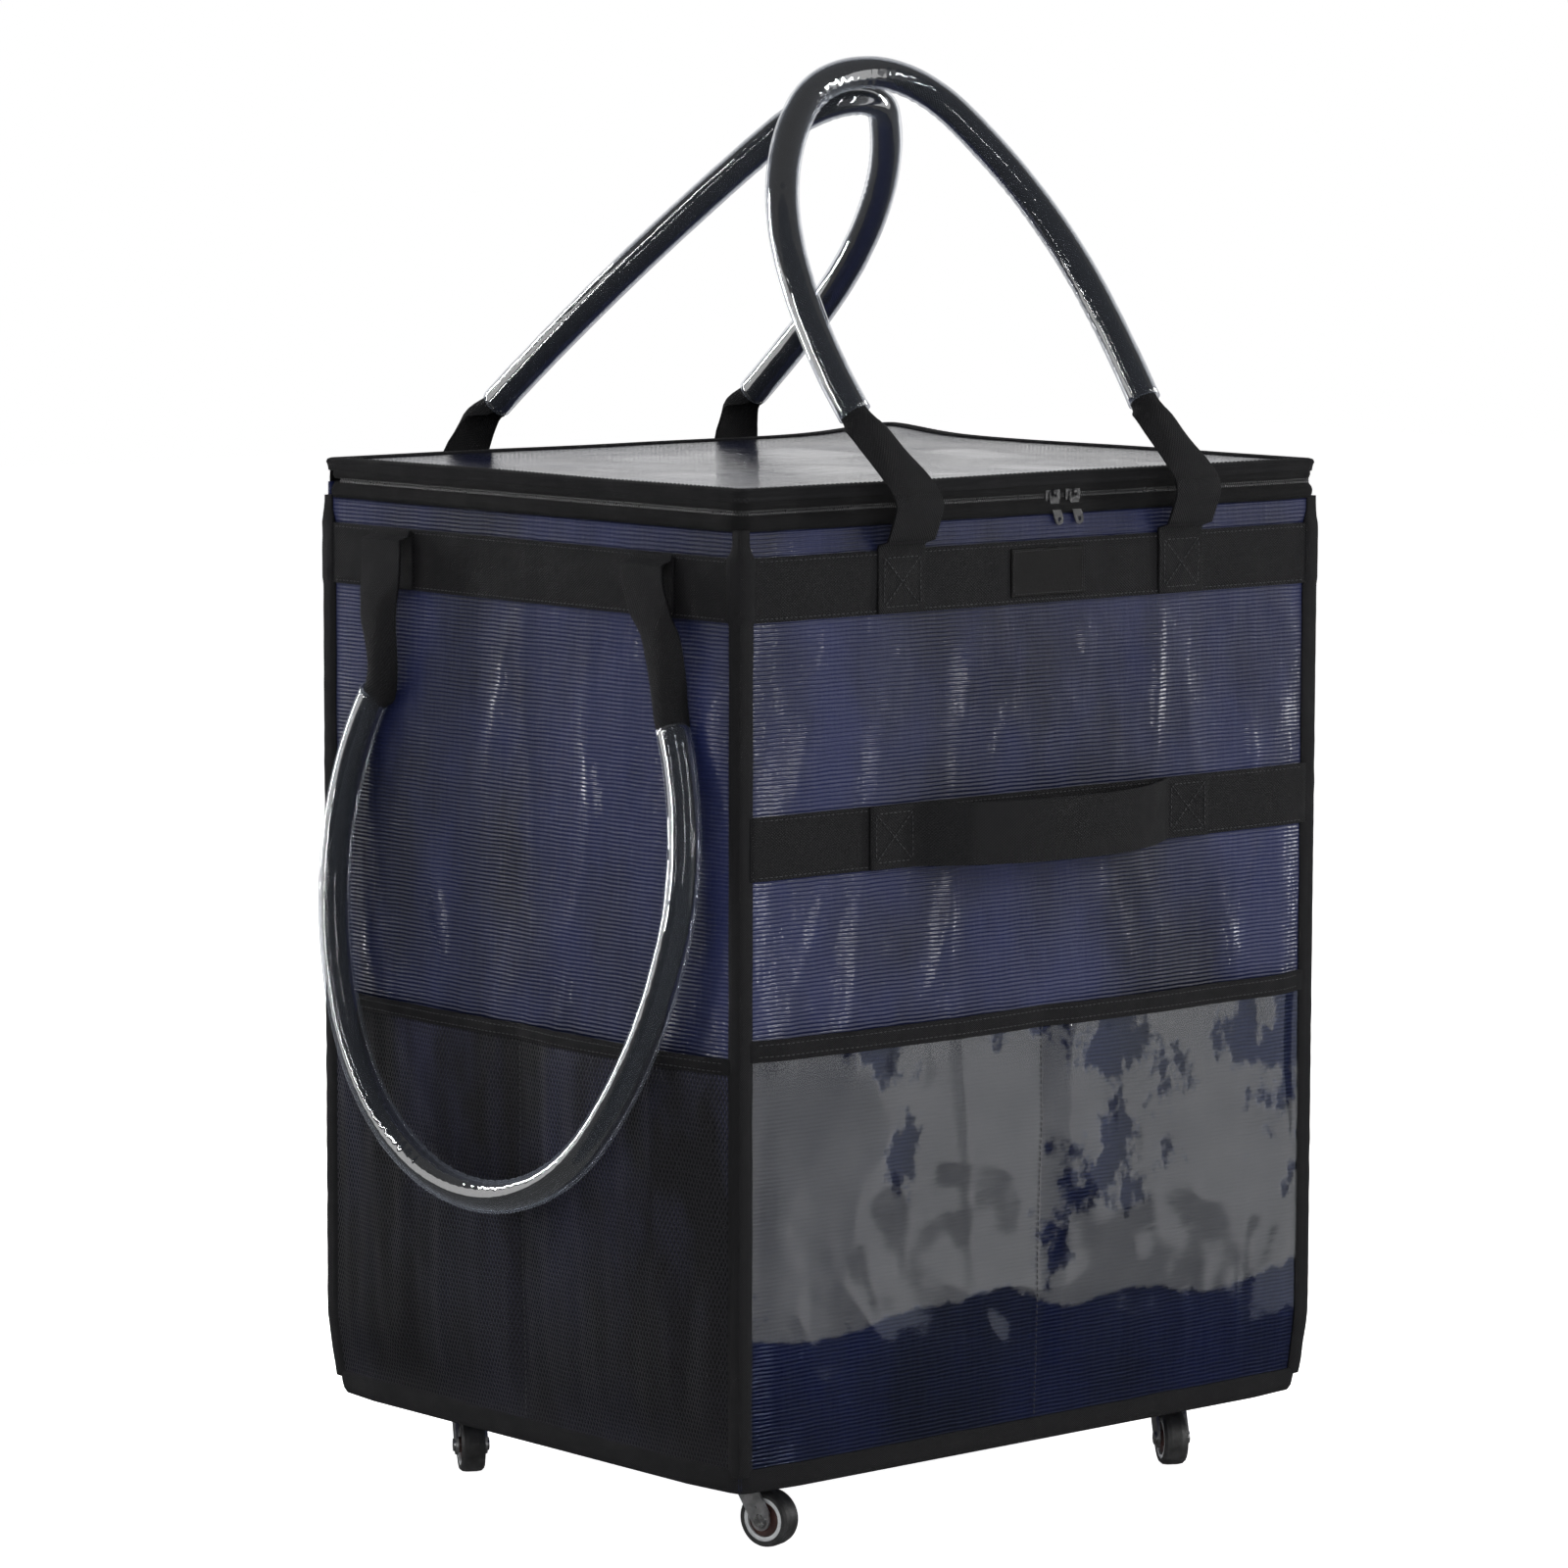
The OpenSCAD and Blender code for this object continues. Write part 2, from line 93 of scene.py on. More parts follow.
WEB_W = BAND_TOP - BAND_Z
PANEL_T = 1.5 * MM
BIND_W = 9 * MM
STRAP_W = WEB_W - 0.6 * MM
SEWN_MID = BAND_T + WEB_T / 2 + 0.15 * MM    # the middle of webbing sewn on a band
SEWN_TOP = BAND_T + WEB_T + 0.35 * MM        # thread on that webbing
SEWN_BOX = 27 * MM
BASE_R, ZIP_R, LID_R = 7 * MM, 8 * MM, 5 * MM
HOSE_R, HOSE_WALL = 9.5 * MM, 1.2 * MM
CURL = math.radians(300)
FACES = {"front": 0, "right": 1, "back": 2, "left": 3}
HALF = (HW, HD, HW, HD)
ALL_ROUND = [0, 1, 2, 3]
ZIP_FACES = [3, 0, 1]


def ramp(a, b, x):
    """0 before a, 1 after b and smooth between them."""
    t = min(1.0, max(0.0, (x - a) / (b - a)))
    return t * t * (3 - 2 * t)


def bump(x, width):
    """1 at 0, falling to nothing a few widths away."""
    return math.exp(-((x / width) ** 2))


def bag(x, y, z):
    """A point given in millimetres from the middle of the bag's foot print."""
    return Vector((CX + x * MM, CY + y * MM, z * MM))


def spot(i, u, out, z):
    """A point on face i, u to its right as seen from outside and out in front of it."""
    d = HALF[i - 1] + out
    x, y = ((u, -d), (d, u), (-u, d), (-d, -u))[i]
    return Vector((CX + x, CY + y, z))


def outward_of(i):
    """The direction that face i looks in."""
    return spot(i, 0, 1, 0) - spot(i, 0, 0, 0)


def facing(vector, way):
    """The vector or its opposite, whichever points along way."""
    return vector if vector.dot(way) > 0 else -vector


# ---- how the laminated panels lie: bellied, folded and creased ----
# Sharp creases on each face: across, height, length, lean and depth, in mm
CREASES = {
    0: [(91, 470, 80, 0.05, 1.5), (-74, 342, 60, 0.25, 1.2), (168, 430, 40, -0.1, 1.0),
        (150, 325, 50, -0.3, 1.1), (-47, 498, 34, 0.2, 0.8), (35, 500, 30, 0, 0.8),
        (-168, 350, 40, 0.4, 0.9), (60, 345, 70, -0.35, 0.9), (-30, 450, 70, 0.3, 0.6)],
    1: [(60, 450, 80, 0.1, 1.2), (-70, 390, 60, -0.2, 1.1), (20, 340, 50, 0.2, 1.0)],
    2: [(90, 420, 90, 0.1, 1.2), (-80, 300, 120, -0.2, 1.2), (10, 200, 90, 0.1, 1.3),
        (-120, 150, 70, 0.2, 1.0), (130, 230, 90, -0.1, 1.1), (-40, 450, 60, 0.2, 1.0)],
    3: [(-22, 466, 60, 0.25, 1.4), (-76, 338, 62, -0.2, 1.4), (-143, 315, 50, -0.15, 1.1),
        (40, 305, 36, 0.2, 1.0), (95, 500, 30, 0, 0.8), (60, 430, 60, -0.2, 0.8),
        (130, 360, 70, 0.1, 0.9)],
}


def belly(i, u, z):
    """How far the panel of face i lies out from flat at u, z."""
    top = TOP_Z if i != 2 else BACK_Z
    seams = (ramp(3 * MM, 30 * MM, HALF[i] - abs(u)) * ramp(0, 40 * MM, z - SEAM_Z)
             * ramp(4 * MM, 26 * MM, top - z))
    if seams <= 0:
        return 0.0
    webbing = bump(z - (BAND_Z + WEB_W / 2), 0.024)
    if i == 0:
        webbing = max(webbing, bump(z - (MID_Z + WEB_W / 2), 0.024))
    across, up = u / HALF[i], (z - SEAM_Z) / (top - SEAM_Z)
    out = 2.6 * (1 - across * across) * (1 - (2 * up - 1) ** 2)
    out += 1.5 * noise.noise((u * 7, z * 6, i * 9.1))
    fold = 1 - abs(noise.noise((u * 17, z * 4.5, 30 + i * 7.7))) * 2.4
    dent = 1 - abs(noise.noise((u * 9 + z * 5, z * 8 - u * 3, 60 + i * 5.3))) * 2.2
    out += (1 - 0.7 * webbing) * (1.1 * max(0, fold) ** 2 + 0.8 * max(0, dent) ** 2)
    out += (1 - 0.8 * webbing) * 0.22 * noise.noise((u * 70, z * 45, 5 * i))
    out += 1.5 * max(0, noise.noise((u * 42, z * 6, 90 + i))) * bump(z - top + 0.01, 0.03)
    for cu, cz, length, lean, depth in CREASES[i]:
        along = (z / MM - cz) / (length * 0.7)
        if abs(along) < 2:
            wander = 1.6 * noise.noise((cz, z * 60, cu))
            off = u / MM - cu - lean * (z / MM - cz) - wander
            out += 1.6 * depth * (1 - 0.8 * webbing) * bump(along, 0.8) * math.exp(-abs(off) / 5)
    return max(-1.2, out) * seams * MM


# ---- mesh builders ----
def cumulative(points):
    """Distances along a row of points, in millimetres."""
    steps = np.linalg.norm(np.diff([tuple(p) for p in points], axis=0), axis=1)
    return np.concatenate([[0], np.cumsum(steps)]) / MM


def linked(name, data):
    """A new object of the scene."""
    obj = bpy.data.objects.new(name, data)
    bpy.context.scene.collection.objects.link(obj)
    return obj


def small_parts(name, verts, faces):
    """One smooth mesh of many small closed pieces."""
    mesh = bpy.data.meshes.new(name)
    mesh.from_pydata([tuple(v) for v in verts], [], faces)
    mesh.shade_smooth()
    return linked(name, mesh)


def prism_faces(first, rows, sides):
    """The faces of a closed prism whose vertices start at first, row by row."""
    faces = []
    for r in range(rows - 1):
        for q in range(sides):
            a, b = first + r * sides + q, first + r * sides + (q + 1) % sides
            faces.append((a, b, b + sides, a + sides))
    top = first + (rows - 1) * sides
    return [*faces, tuple(range(first + sides - 1, first - 1, -1)), tuple(range(top, top + sides))]


def spot_along(points, run, s):
    """The number of the point after s along a row of points, the spot there and the direction."""
    k = min(int(np.searchsorted(run, s)), len(run) - 1)
    share = (s - run[k - 1]) / max(run[k] - run[k - 1], 1e-9)
    return k, points[k - 1].lerp(points[k], share), (points[k] - points[k - 1]).normalized()


def sweep(name, sections, ring=False):
    """A skin over sections, each a closed loop of as many points, with millimetres as UVs."""
    s = np.array([[tuple(p) for p in row] for row in sections], float)
    n, m = s.shape[:2]
    rows = n if ring else n - 1
    middle = s.mean(axis=1)
    along = cumulative(np.vstack([middle, middle[:1]]))
    around = cumulative(np.vstack([s[n // 2], s[n // 2][:1]]))
    faces, uvs = [], []
    for r in range(rows):
        q = (r + 1) % n
        for c in range(m):
            d = (c + 1) % m
            faces.append((r * m + c, q * m + c, q * m + d, r * m + d))
            uvs += [(along[r], around[c]), (along[r + 1], around[c]),
                    (along[r + 1], around[c + 1]), (along[r], around[c + 1])]
    if not ring:
        for first, step in ((0, 1), ((n - 1) * m, -1)):
            half = m // 2
            for c in range(half - 1):
                a, b = first + c, first + c + 1
                e, f = first + m - 2 - c, first + m - 1 - c
                quad = (a, b, e, f) if len({a, b, e, f}) == 4 else (a, b, f)
                faces.append(quad if step > 0 else quad[::-1])
                uvs += [(0, 0)] * len(quad)
    mesh = bpy.data.meshes.new(name)
    mesh.from_pydata(s.reshape(-1, 3).tolist(), [], faces)
    layer = mesh.uv_layers.new(name="weave")
    layer.data.foreach_set("uv", np.array(uvs, np.float32).ravel())
    mesh.validate()
    mesh.shade_smooth()
    return linked(name, mesh)


def finish(obj, body, look, nodes=()):
    """Puts a look's material on a piece, hangs it on the body it rides on and hides the CAD nodes it stands
    for; the look's slot is not used.
    """
    material, slot = look
    obj.data.materials.clear()
    obj.data.materials.append(material)
    if body:
        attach(obj, body)
    if nodes:
        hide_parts(*nodes)
    return obj


def spaced(a, b, step, inset=0.0):
    """Even steps from a to b, with one more close to each end if inset is given."""
    n = max(1, round(abs(b - a) / step))
    inner = [a + (b - a) * k / n for k in range(n + 1)]
    if inset:
        inner = [a, a + inset, *inner[1:-1], b - inset, b]
    return inner


def face_slab(name, i, us, zs, outer, thick):
    """A sheet on face i between us and zs; outer gives how far its outside stands out."""
    sections = []
    for u in us:
        front = [spot(i, u, outer(u, z), z) for z in zs]
        back = [spot(i, u, outer(u, z) - thick, z) for z in reversed(zs)]
        sections.append(front + back)
    return sweep(name, sections)


def rim(faces, radius, step=4 * MM):
    """Stations along these faces of the bag: face or None, point, outward x and outward y."""
    out = []
    for k, i in enumerate(faces):
        straight = HALF[i] - radius
        nx, ny = ((0, -1), (1, 0), (0, 1), (-1, 0))[i]
        for u in spaced(-straight, straight, step):
            out.append((i, spot(i, u, -radius, 0), nx, ny))
        if k < len(faces) - 1 or len(faces) == 4:
            corner = spot(i, straight, -radius, 0)
            start = math.atan2(ny, nx)
            for q in range(1, 6):
                a = start + q * math.pi / 12
                out.append((None, corner, math.cos(a), math.sin(a)))
    return out


def around_bag(name, faces, radius, base_z, profile):
    """Sweeps a closed profile, a list of (out, up) in mm from radius and base_z, round the bag."""
    sections = []
    for i, p, nx, ny in rim(faces, radius):
        section = [(radius + out * MM, base_z + up * MM) for out, up in profile(i, p)]
        sections.append([(p.x + nx * r, p.y + ny * r, z) for r, z in section])
    return sweep(name, sections, ring=len(faces) == 4)


def catmull(points, steps):
    """A smooth line through points."""
    p = [Vector(q) for q in points]
    p = [2 * p[0] - p[1], *p, 2 * p[-1] - p[-2]]
    line = []
    for a, b, c, d in zip(p, p[1:], p[2:], p[3:]):
        for k in range(steps):
            t = k / steps
            line.append(0.5 * ((2 * b) + (c - a) * t + (2 * a - 5 * b + 4 * c - d) * t * t
                               + (3 * b - a - 3 * c + d) * t * t * t))
    return [*line, p[-2]]


def ribbon(name, stations, across=14):
    """Webbing along stations (centre, side, out, width, curl), curl the angle it is rolled through."""
    ts = [-0.5, -0.48, *[k / across - 0.5 for k in range(1, across)], 0.48, 0.5]
    sections = []
    for centre, side, out, width, curl in stations:
        radius, full = width / max(curl, 1e-3), curl / CURL
        rows = {1: [], -1: []}
        for t in ts:
            a = t * max(curl, 1e-3)
            normal = side * math.sin(a) + out * math.cos(a)
            middle = centre + side * radius * math.sin(a) + out * radius * (math.cos(a) - 1 + full)
            for face in rows:
                rows[face].append(middle + normal * WEB_T / 2 * face)
        sections.append(rows[1] + rows[-1][::-1])
    return sweep(name, sections)


def stitches(name, seams, body, pitch=3.4 * MM, length=2.4 * MM, radius=0.3 * MM):
    """Short threads lying along seams; each seam is a list of (point, outward)."""
    verts, faces = [], []
    for seam in seams:
        points = [p for p, _ in seam]
        run = cumulative(points) * MM
        for s in np.arange(pitch / 2, run[-1] - length, pitch):
            k, centre, along = spot_along(points, run, s + length / 2)
            out = seam[k][1]
            side = along.cross(out).normalized()
            faces += prism_faces(len(verts), 4, 6)
            for place, size, lift in ((-0.5, 0.5, -0.5), (-0.3, 1, 0.4), (0.3, 1, 0.4), (0.5, 0.5, -0.5)):
                for q in range(6):
                    a = q * math.pi / 3
                    verts.append(centre + along * length * place
                                 + out * radius * (lift + size * math.sin(a))
                                 + side * radius * size * math.cos(a))
    return finish(small_parts(name, verts, faces), body, thread)


# ---- materials ----
class Finish:
    """A Principled material and the nodes that feed it."""

    def __init__(self, name, **sockets):
        self.material = bpy.data.materials.new(name)
        self.material.use_nodes = True
        self.tree = self.material.node_tree
        self.shader = self.tree.nodes["Principled BSDF"]
        for key, value in sockets.items():
            self.shader.inputs[key.replace("_", " ")].default_value = value
        self.weave = self.add("UVMap", uv_map="weave")
        self.place = self.add("TexCoord", output="Object")

    def add(self, kind, inputs=None, output=0, **attributes):
        node = self.tree.nodes.new("ShaderNode" + kind)
        for key, value in attributes.items():
            setattr(node, key, value)
        for key, value in (inputs or {}).items():
            if isinstance(value, bpy.types.NodeSocket):
                self.tree.links.new(value, node.inputs[key])
            else:
                node.inputs[key].default_value = value
        return node.outputs[output]

    def math(self, operation, a, b=0.0, c=0.0):
        return self.add("Math", {0: a, 1: b, 2: c}, operation=operation)

    def split(self, vector):
        """The X and Y of a vector."""
        x = self.add("SeparateXYZ", {0: vector})
        return x, x.node.outputs["Y"]

    def noise(self, vector, scale, detail=3.0, rough=0.55, stretch=(1, 1, 1)):
        moved = self.add("Mapping", {"Vector": vector, "Scale": stretch})
        return self.add("TexNoise", {"Vector": moved, "Scale": scale, "Detail": detail, "Roughness": rough})

    def spread(self, value, low, high, to_low=0.0, to_high=1.0):
        return self.add("MapRange", {"Value": value, "From Min": low, "From Max": high,
                                     "To Min": to_low, "To Max": to_high})

    def blend(self, share, a, b):
        return self.add("Mix", {"Factor": share, 6: a, 7: b}, output=2, data_type="RGBA")

    def wave(self, value, pitch, phase=0.0):
        """A ripple from 0 to 1 with that pitch, in the value's own unit."""
        turned = self.math("MULTIPLY_ADD", value, 2 * math.pi / pitch, phase)
        return self.math("MULTIPLY_ADD", self.math("SINE", turned), 0.5, 0.5)

    def feed(self, socket, value):
        self.tree.links.new(value, self.shader.inputs[socket])

    def relief(self, *heights):
        """Bumps in turn, each (height, distance in metres, strength)."""
        normal = None
        for height, distance, strength in heights:
            inputs = {"Height": height, "Distance": distance, "Strength": strength}
            if normal is not None:
                inputs["Normal"] = normal
            normal = self.add("Bump", inputs)
        self.feed("Normal", normal)
        return normal


def make_laminate(name, coat, grain):
    """Woven tape under a clear film: fine cross ribs, cloudy film and a sheen painted in lighter upright
    streaks.
    """
    f = Finish(name, Roughness=0.4, Specular_IOR_Level=0.2, Coat_Weight=coat, Coat_Roughness=0.06)
    across, up = f.split(f.weave)
    jitter = f.noise(f.weave, 0.05, 4)
    rib = f.wave(f.math("MULTIPLY_ADD", jitter, 1.6, up), 2.3)
    tape = f.wave(f.math("MULTIPLY_ADD", jitter, 1.8, across), 4.2)
    weave = f.math("MULTIPLY", rib, f.math("MULTIPLY_ADD", tape, 0.12, 0.88))
    clouds = f.noise(f.place, 9, 4, 0.6, (1, 1, 0.6))
    # painted sheen: a lighter navy in long upright streaks stands in for light caught on the creases
    sheen_streak = f.noise(f.place, 30, 5, 0.6, (1, 1, 0.16))
    deep, navy = (0.0024, 0.0031, 0.0088, 1), (0.0068, 0.0094, 0.037, 1)
    painted_sheen_tone, rib_tone = (0.020, 0.024, 0.048, 1), (0.0115, 0.0145, 0.041, 1)
    tone = f.blend(f.spread(clouds, 0.38, 0.62), deep, navy)
    tone = f.blend(f.spread(sheen_streak, 0.55, 0.78, 0, 0.3), tone, painted_sheen_tone)
    tone = f.blend(f.math("MULTIPLY", weave, 0.38), tone, rib_tone)
    f.feed("Base Color", tone)
    f.feed("Roughness", f.spread(f.noise(f.place, 22, 5, 0.65), 0.3, 0.72, 0.3, 0.5))
    crumple = f.noise(f.place, 55, 5, 0.6, (1, 1, 0.45))
    normal = f.relief((crumple, 0.0022, 0.45), (weave, grain, 0.7))
    f.feed("Coat Normal", normal)
    return f.material


def make_webbing(name, tone=(0.0040, 0.0040, 0.0046), pitch=2.1, speckle=0.5):
    """Matt black polypropylene webbing with cross ribs."""
    f = Finish(name, Roughness=0.78, Specular_IOR_Level=0.22)
    along, across = f.split(f.weave)
    warp = f.wave(across, pitch * 0.8)
    weft = f.wave(along, pitch, 1.2)
    cell = f.math("ABSOLUTE", f.math("SUBTRACT", warp, weft))
    fibre = f.noise(f.weave, 2.2, 3)
    worn = f.noise(f.place, 34, 4)
    dark, light, rubbed = ((*(c * level for c in tone), 1) for level in (0.55, 1.9, 2.6))
    colour = f.blend(f.math("MULTIPLY_ADD", fibre, speckle, f.math("MULTIPLY", cell, 0.45)), dark, light)
    colour = f.blend(f.spread(worn, 0.5, 0.8, 0, 0.3), colour, rubbed)
    f.feed("Base Color", colour)
    f.feed("Roughness", f.spread(worn, 0.3, 0.7, 0.68, 0.86))
    f.relief((cell, 0.0007, 0.9), (fibre, 0.0004, 0.6))
    return f.material


def clear_skin(f, tint, share, rough=None, gain=1.0, normal=None):
    """Mixes a see-through skin under the shader f, and a mirror over both where rough is given."""
    clear = f.add("BsdfTransparent", {"Color": tint})
    body = f.add("MixShader", {0: share, 1: clear, 2: f.shader.outputs[0]})
    if rough is not None:
        fresnel = f.add("Fresnel", {"IOR": 1.5, "Normal": normal})
        mirror = f.add("BsdfGlossy", {"Color": (1, 1, 1, 1), "Roughness": rough, "Normal": normal})
        body = f.add("MixShader", {0: f.math("MULTIPLY", fresnel, gain), 1: body, 2: mirror})
    f.tree.links.new(body, f.tree.nodes["Material Output"].inputs["Surface"])


def make_film():
    """Clear PVC sheet with a painted reflection: a grey body colour above a ragged line and off the islands
    where it clings stands in for the room seen in it, and the see-through tint is darker as painted shade where
    no reflection is painted.
    """
    f = Finish("clear_sheet", Roughness=0.5, Specular_IOR_Level=0.0)
    smear_and_reflection_mottle = f.noise(f.place, 26, 4, 0.6)
    # painted reflection: the two greys of the body colour stand in for the grey room seen in the sheet, and the
    # brighter one is not thicker film
    dim_reflection_grey, thick = (0.046, 0.048, 0.052, 1), (0.066, 0.068, 0.072, 1)
    f.feed("Base Color", f.blend(f.spread(smear_and_reflection_mottle, 0.3, 0.7), dim_reflection_grey, thick))
    z = f.add("SeparateXYZ", {0: f.place}, output="Z")
    # the ragged line below which no reflection is painted
    reflection_edge = f.math("MULTIPLY_ADD", f.noise(f.place, 8, 1, 0.4, (1, 1, 0.5)), 0.075, z)
    ragged = f.math("MULTIPLY_ADD", f.noise(f.place, 75, 5, 0.7), 0.016, reflection_edge)
    above_reflection_edge = f.spread(ragged, 0.174, 0.177)
    patches = f.math("MULTIPLY_ADD", z, 0.75, f.noise(f.place, 13, 6, 0.66, (1, 1, 0.75)))
    clings = f.spread(patches, 0.705, 0.742)
    # where the painted reflection shows: above that line and off the clinging islands
    painted_reflection = f.math("MULTIPLY", above_reflection_edge, f.math("SUBTRACT", 1.0, clings))
    normal = f.relief((f.noise(f.place, 30, 2, 0.5, (1, 1, 0.7)), 0.002, 0.1),
                      (f.noise(f.place, 260, 2), 0.0004, 0.08))
    # painted shade: the see-through tint is darker where no reflection is painted, and near-clear where it is
    shaded_tint, clear_tint = (0.70, 0.73, 0.80, 1), (0.97, 0.975, 0.985, 1)
    clear_skin(f, f.blend(painted_reflection, shaded_tint, clear_tint), f.spread(painted_reflection, 0, 1, 0.0, 0.46),
               f.spread(smear_and_reflection_mottle, 0.3, 0.8, 0.02, 0.12), f.spread(painted_reflection, 0, 1, 0.12, 0.36), normal)
    return f.material


def make_hose():
    """Clear soft PVC hose: black inside shows through its face, and a pale colour painted on towards its rims
    stands in for the light seen through them.
    """
    # painted light: this pale blue-grey body colour, shown more towards grazing angles, stands in for the
    # bright room seen through the rims
    f = Finish("clear_hose", Base_Color=(0.42, 0.47, 0.56, 1), Roughness=0.3, Specular_IOR_Level=0.0)
    facing = f.add("LayerWeight", {"Blend": 0.5}, output=1)
    edge = f.math("POWER", facing, 5.0)
    normal = f.relief((f.noise(f.place, 60, 2, 0.5), 0.0016, 0.25))
    clear_skin(f, (0.95, 0.96, 0.98, 1), f.math("MULTIPLY_ADD", edge, 0.5, 0.012),
               f.spread(f.noise(f.place, 45, 4), 0.4, 0.8, 0.02, 0.1), 0.5, normal)
    return f.material


def make_mesh_cloth():
    """Knitted mesh: staggered small holes in rows, the yarn between them and a navy sheen painted in patches
    along the rows, fading lower down.
    """
    f = Finish("black_mesh", Roughness=0.6, Specular_IOR_Level=0.15)
    along, up = f.split(f.weave)
    slant = f.math("MULTIPLY_ADD", up, 0.5, along)
    lean = f.math("MULTIPLY_ADD", up, -0.5, along)
    hole = f.math("MULTIPLY", f.wave(slant, 2.6), f.wave(lean, 2.6))
    yarn = f.noise(f.weave, 1.4, 3)
    # painted sheen: navy patches along the slanting rows stand in for light on the gathers, and they are
    # painted stronger higher up, fading towards the bottom
    sheen_patch = f.noise(f.place, 11, 4, 0.6, (1, 1, 0.5))
    black, grey, navy = (0.0006, 0.0006, 0.0008, 1), (0.0110, 0.0110, 0.0135, 1), (0.034, 0.036, 0.078, 1)
    tone = f.blend(f.spread(yarn, 0.3, 0.7), black, grey)
    high = f.spread(f.add("SeparateXYZ", {0: f.place}, output="Z"), 0.10, 0.22, 0.25, 1)
    painted_sheen = f.math("MULTIPLY", f.spread(sheen_patch, 0.44, 0.66, 0, 0.75), high)
    f.feed("Base Color", f.blend(f.math("MULTIPLY", painted_sheen, f.wave(slant, 2.6)), tone, navy))
    f.relief((f.math("SUBTRACT", 1.0, hole), 0.0009, 1.0))
    clear_skin(f, (1, 1, 1, 1), f.spread(hole, 0.4, 0.7, 1.0, 0.2))
    return f.material


def make_label():
    """Satin woven label, blank."""
    f = Finish("label", Roughness=0.42, Specular_IOR_Level=0.06)
    along, up = f.split(f.weave)
    twill = f.wave(f.math("MULTIPLY_ADD", up, 0.6, along), 0.7)
    f.feed("Base Color", f.blend(twill, (0.0008, 0.0007, 0.0007, 1), (0.0020, 0.0019, 0.0019, 1)))
    f.feed("Roughness", f.spread(f.noise(f.weave, 0.4, 4), 0.3, 0.7, 0.34, 0.52))
    f.relief((twill, 0.0002, 0.4))
    return f.material


def make_plain(name, dark, light, scale, rough, relief=0.0003, **sockets):
    """A moulded, cast or plated surface with mottled tone and fine relief."""
    f = Finish(name, **sockets)
    mottle = f.noise(f.place, scale, 5, 0.6)
    f.feed("Base Color", f.blend(f.spread(mottle, 0.35, 0.68), (*dark, 1), (*light, 1)))
    f.feed("Roughness", f.spread(f.noise(f.place, scale * 2.3, 4), 0.3, 0.7, *rough))
    f.relief((f.noise(f.place, scale * 9, 3), relief, 0.35))
    return f.material


# Looks: a material and a slot name
laminate = make_laminate("navy_laminate", 0.45, 0.0005), "navy_laminate"
lid_laminate = make_laminate("lid_laminate", 0.9, 0.00012), "navy_laminate"
webbing = make_webbing("black_webbing"), "black_webbing"
binding_tape = make_webbing("black_binding", (0.0034, 0.0034, 0.0040), 1.4, 0.9), "black_webbing"
zip_tape = make_webbing("zipper_tape", (0.0030, 0.0030, 0.0034), 0.9, 0.4), "black_webbing"
film = make_film(), "clear_sheet"
hose_pvc = make_hose(), "clear_hose"
mesh_cloth = make_mesh_cloth(), "black_mesh"
satin = make_label(), "label"
thread = make_plain("thread", (0.006, 0.006, 0.007), (0.022, 0.022, 0.025), 900, (0.5, 0.7)), "black_webbing"
coil = (make_plain("zipper_coil", (0.004, 0.004, 0.0045), (0.012, 0.012, 0.013), 300, (0.24, 0.4)),
        "zipper_coil")

# Materials of the parts that keep their CAD shape
black_metal = make_plain("black_metal", (0.004, 0.004, 0.005), (0.010, 0.010, 0.011), 240, (0.08, 0.2),
                         Specular_IOR_Level=0.9)
zinc = make_plain("zinc_steel", (0.34, 0.34, 0.35), (0.60, 0.60, 0.61), 160, (0.26, 0.48), Metallic=1.0)
rivet = make_plain("rivet_steel", (0.45, 0.45, 0.46), (0.72, 0.72, 0.72), 200, (0.18, 0.34), Metallic=1.0)
hub_plastic = make_plain("hub_plastic", (0.022, 0.010, 0.009), (0.05, 0.022, 0.019), 180, (0.3, 0.45))
rim_plastic = make_plain("rim_plastic", (0.26, 0.27, 0.28), (0.42, 0.43, 0.44), 160, (0.3, 0.45))
rubber = make_plain("tyre_rubber", (0.006, 0.006, 0.006), (0.02, 0.02, 0.021), 140, (0.4, 0.62))
board = make_plain("base_board", (0.010, 0.010, 0.010), (0.026, 0.025, 0.024), 90, (0.6, 0.85))

# ---- the camera, at the angle of the real view ----
camera = linked("camera", bpy.data.cameras.new("camera"))
bpy.context.scene.camera = camera
camera.data.sensor_width = 36
camera.data.lens = 144.4
camera.location = bag(-2416, -2736, 821)
camera.rotation_mode = "XYZ"
camera.rotation_euler = (math.radians(83.48), math.radians(-0.13), math.radians(-41.1))

# ---- panels ----
for side, i in FACES.items():
    top = BACK_Z if side == "back" else TOP_Z
    us = spaced(-HALF[i] + 1 * MM, HALF[i] - 1 * MM, 3 * MM)
    zs = spaced(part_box("front_panel")[0].z, top, 3 * MM)
    panel = face_slab(side + "_panel_cloth", i, us, zs, lambda u, z: belly(i, u, z), PANEL_T)
    finish(panel, "bag", laminate, [side + "_panel"])

under = []
for u in spaced(-HW + 1 * MM, HW - 1 * MM, 8 * MM):
    ys = spaced(-HD + 1 * MM, HD - 1 * MM, 8 * MM)
    sag = [0.4 * MM * noise.noise((u * 20, y * 20, 3)) for y in ys]
    low = [bag(u / MM, y / MM, FLOOR_LO.z / MM) + Vector((0, 0, min(0, s))) for y, s in zip(ys, sag)]
    high = [Vector((p.x, p.y, FLOOR_HI.z)) for p in reversed(low)]
    under.append(low + high)
under = finish(sweep("floor_panel_cloth", under), "bag", laminate, ["floor_panel"])


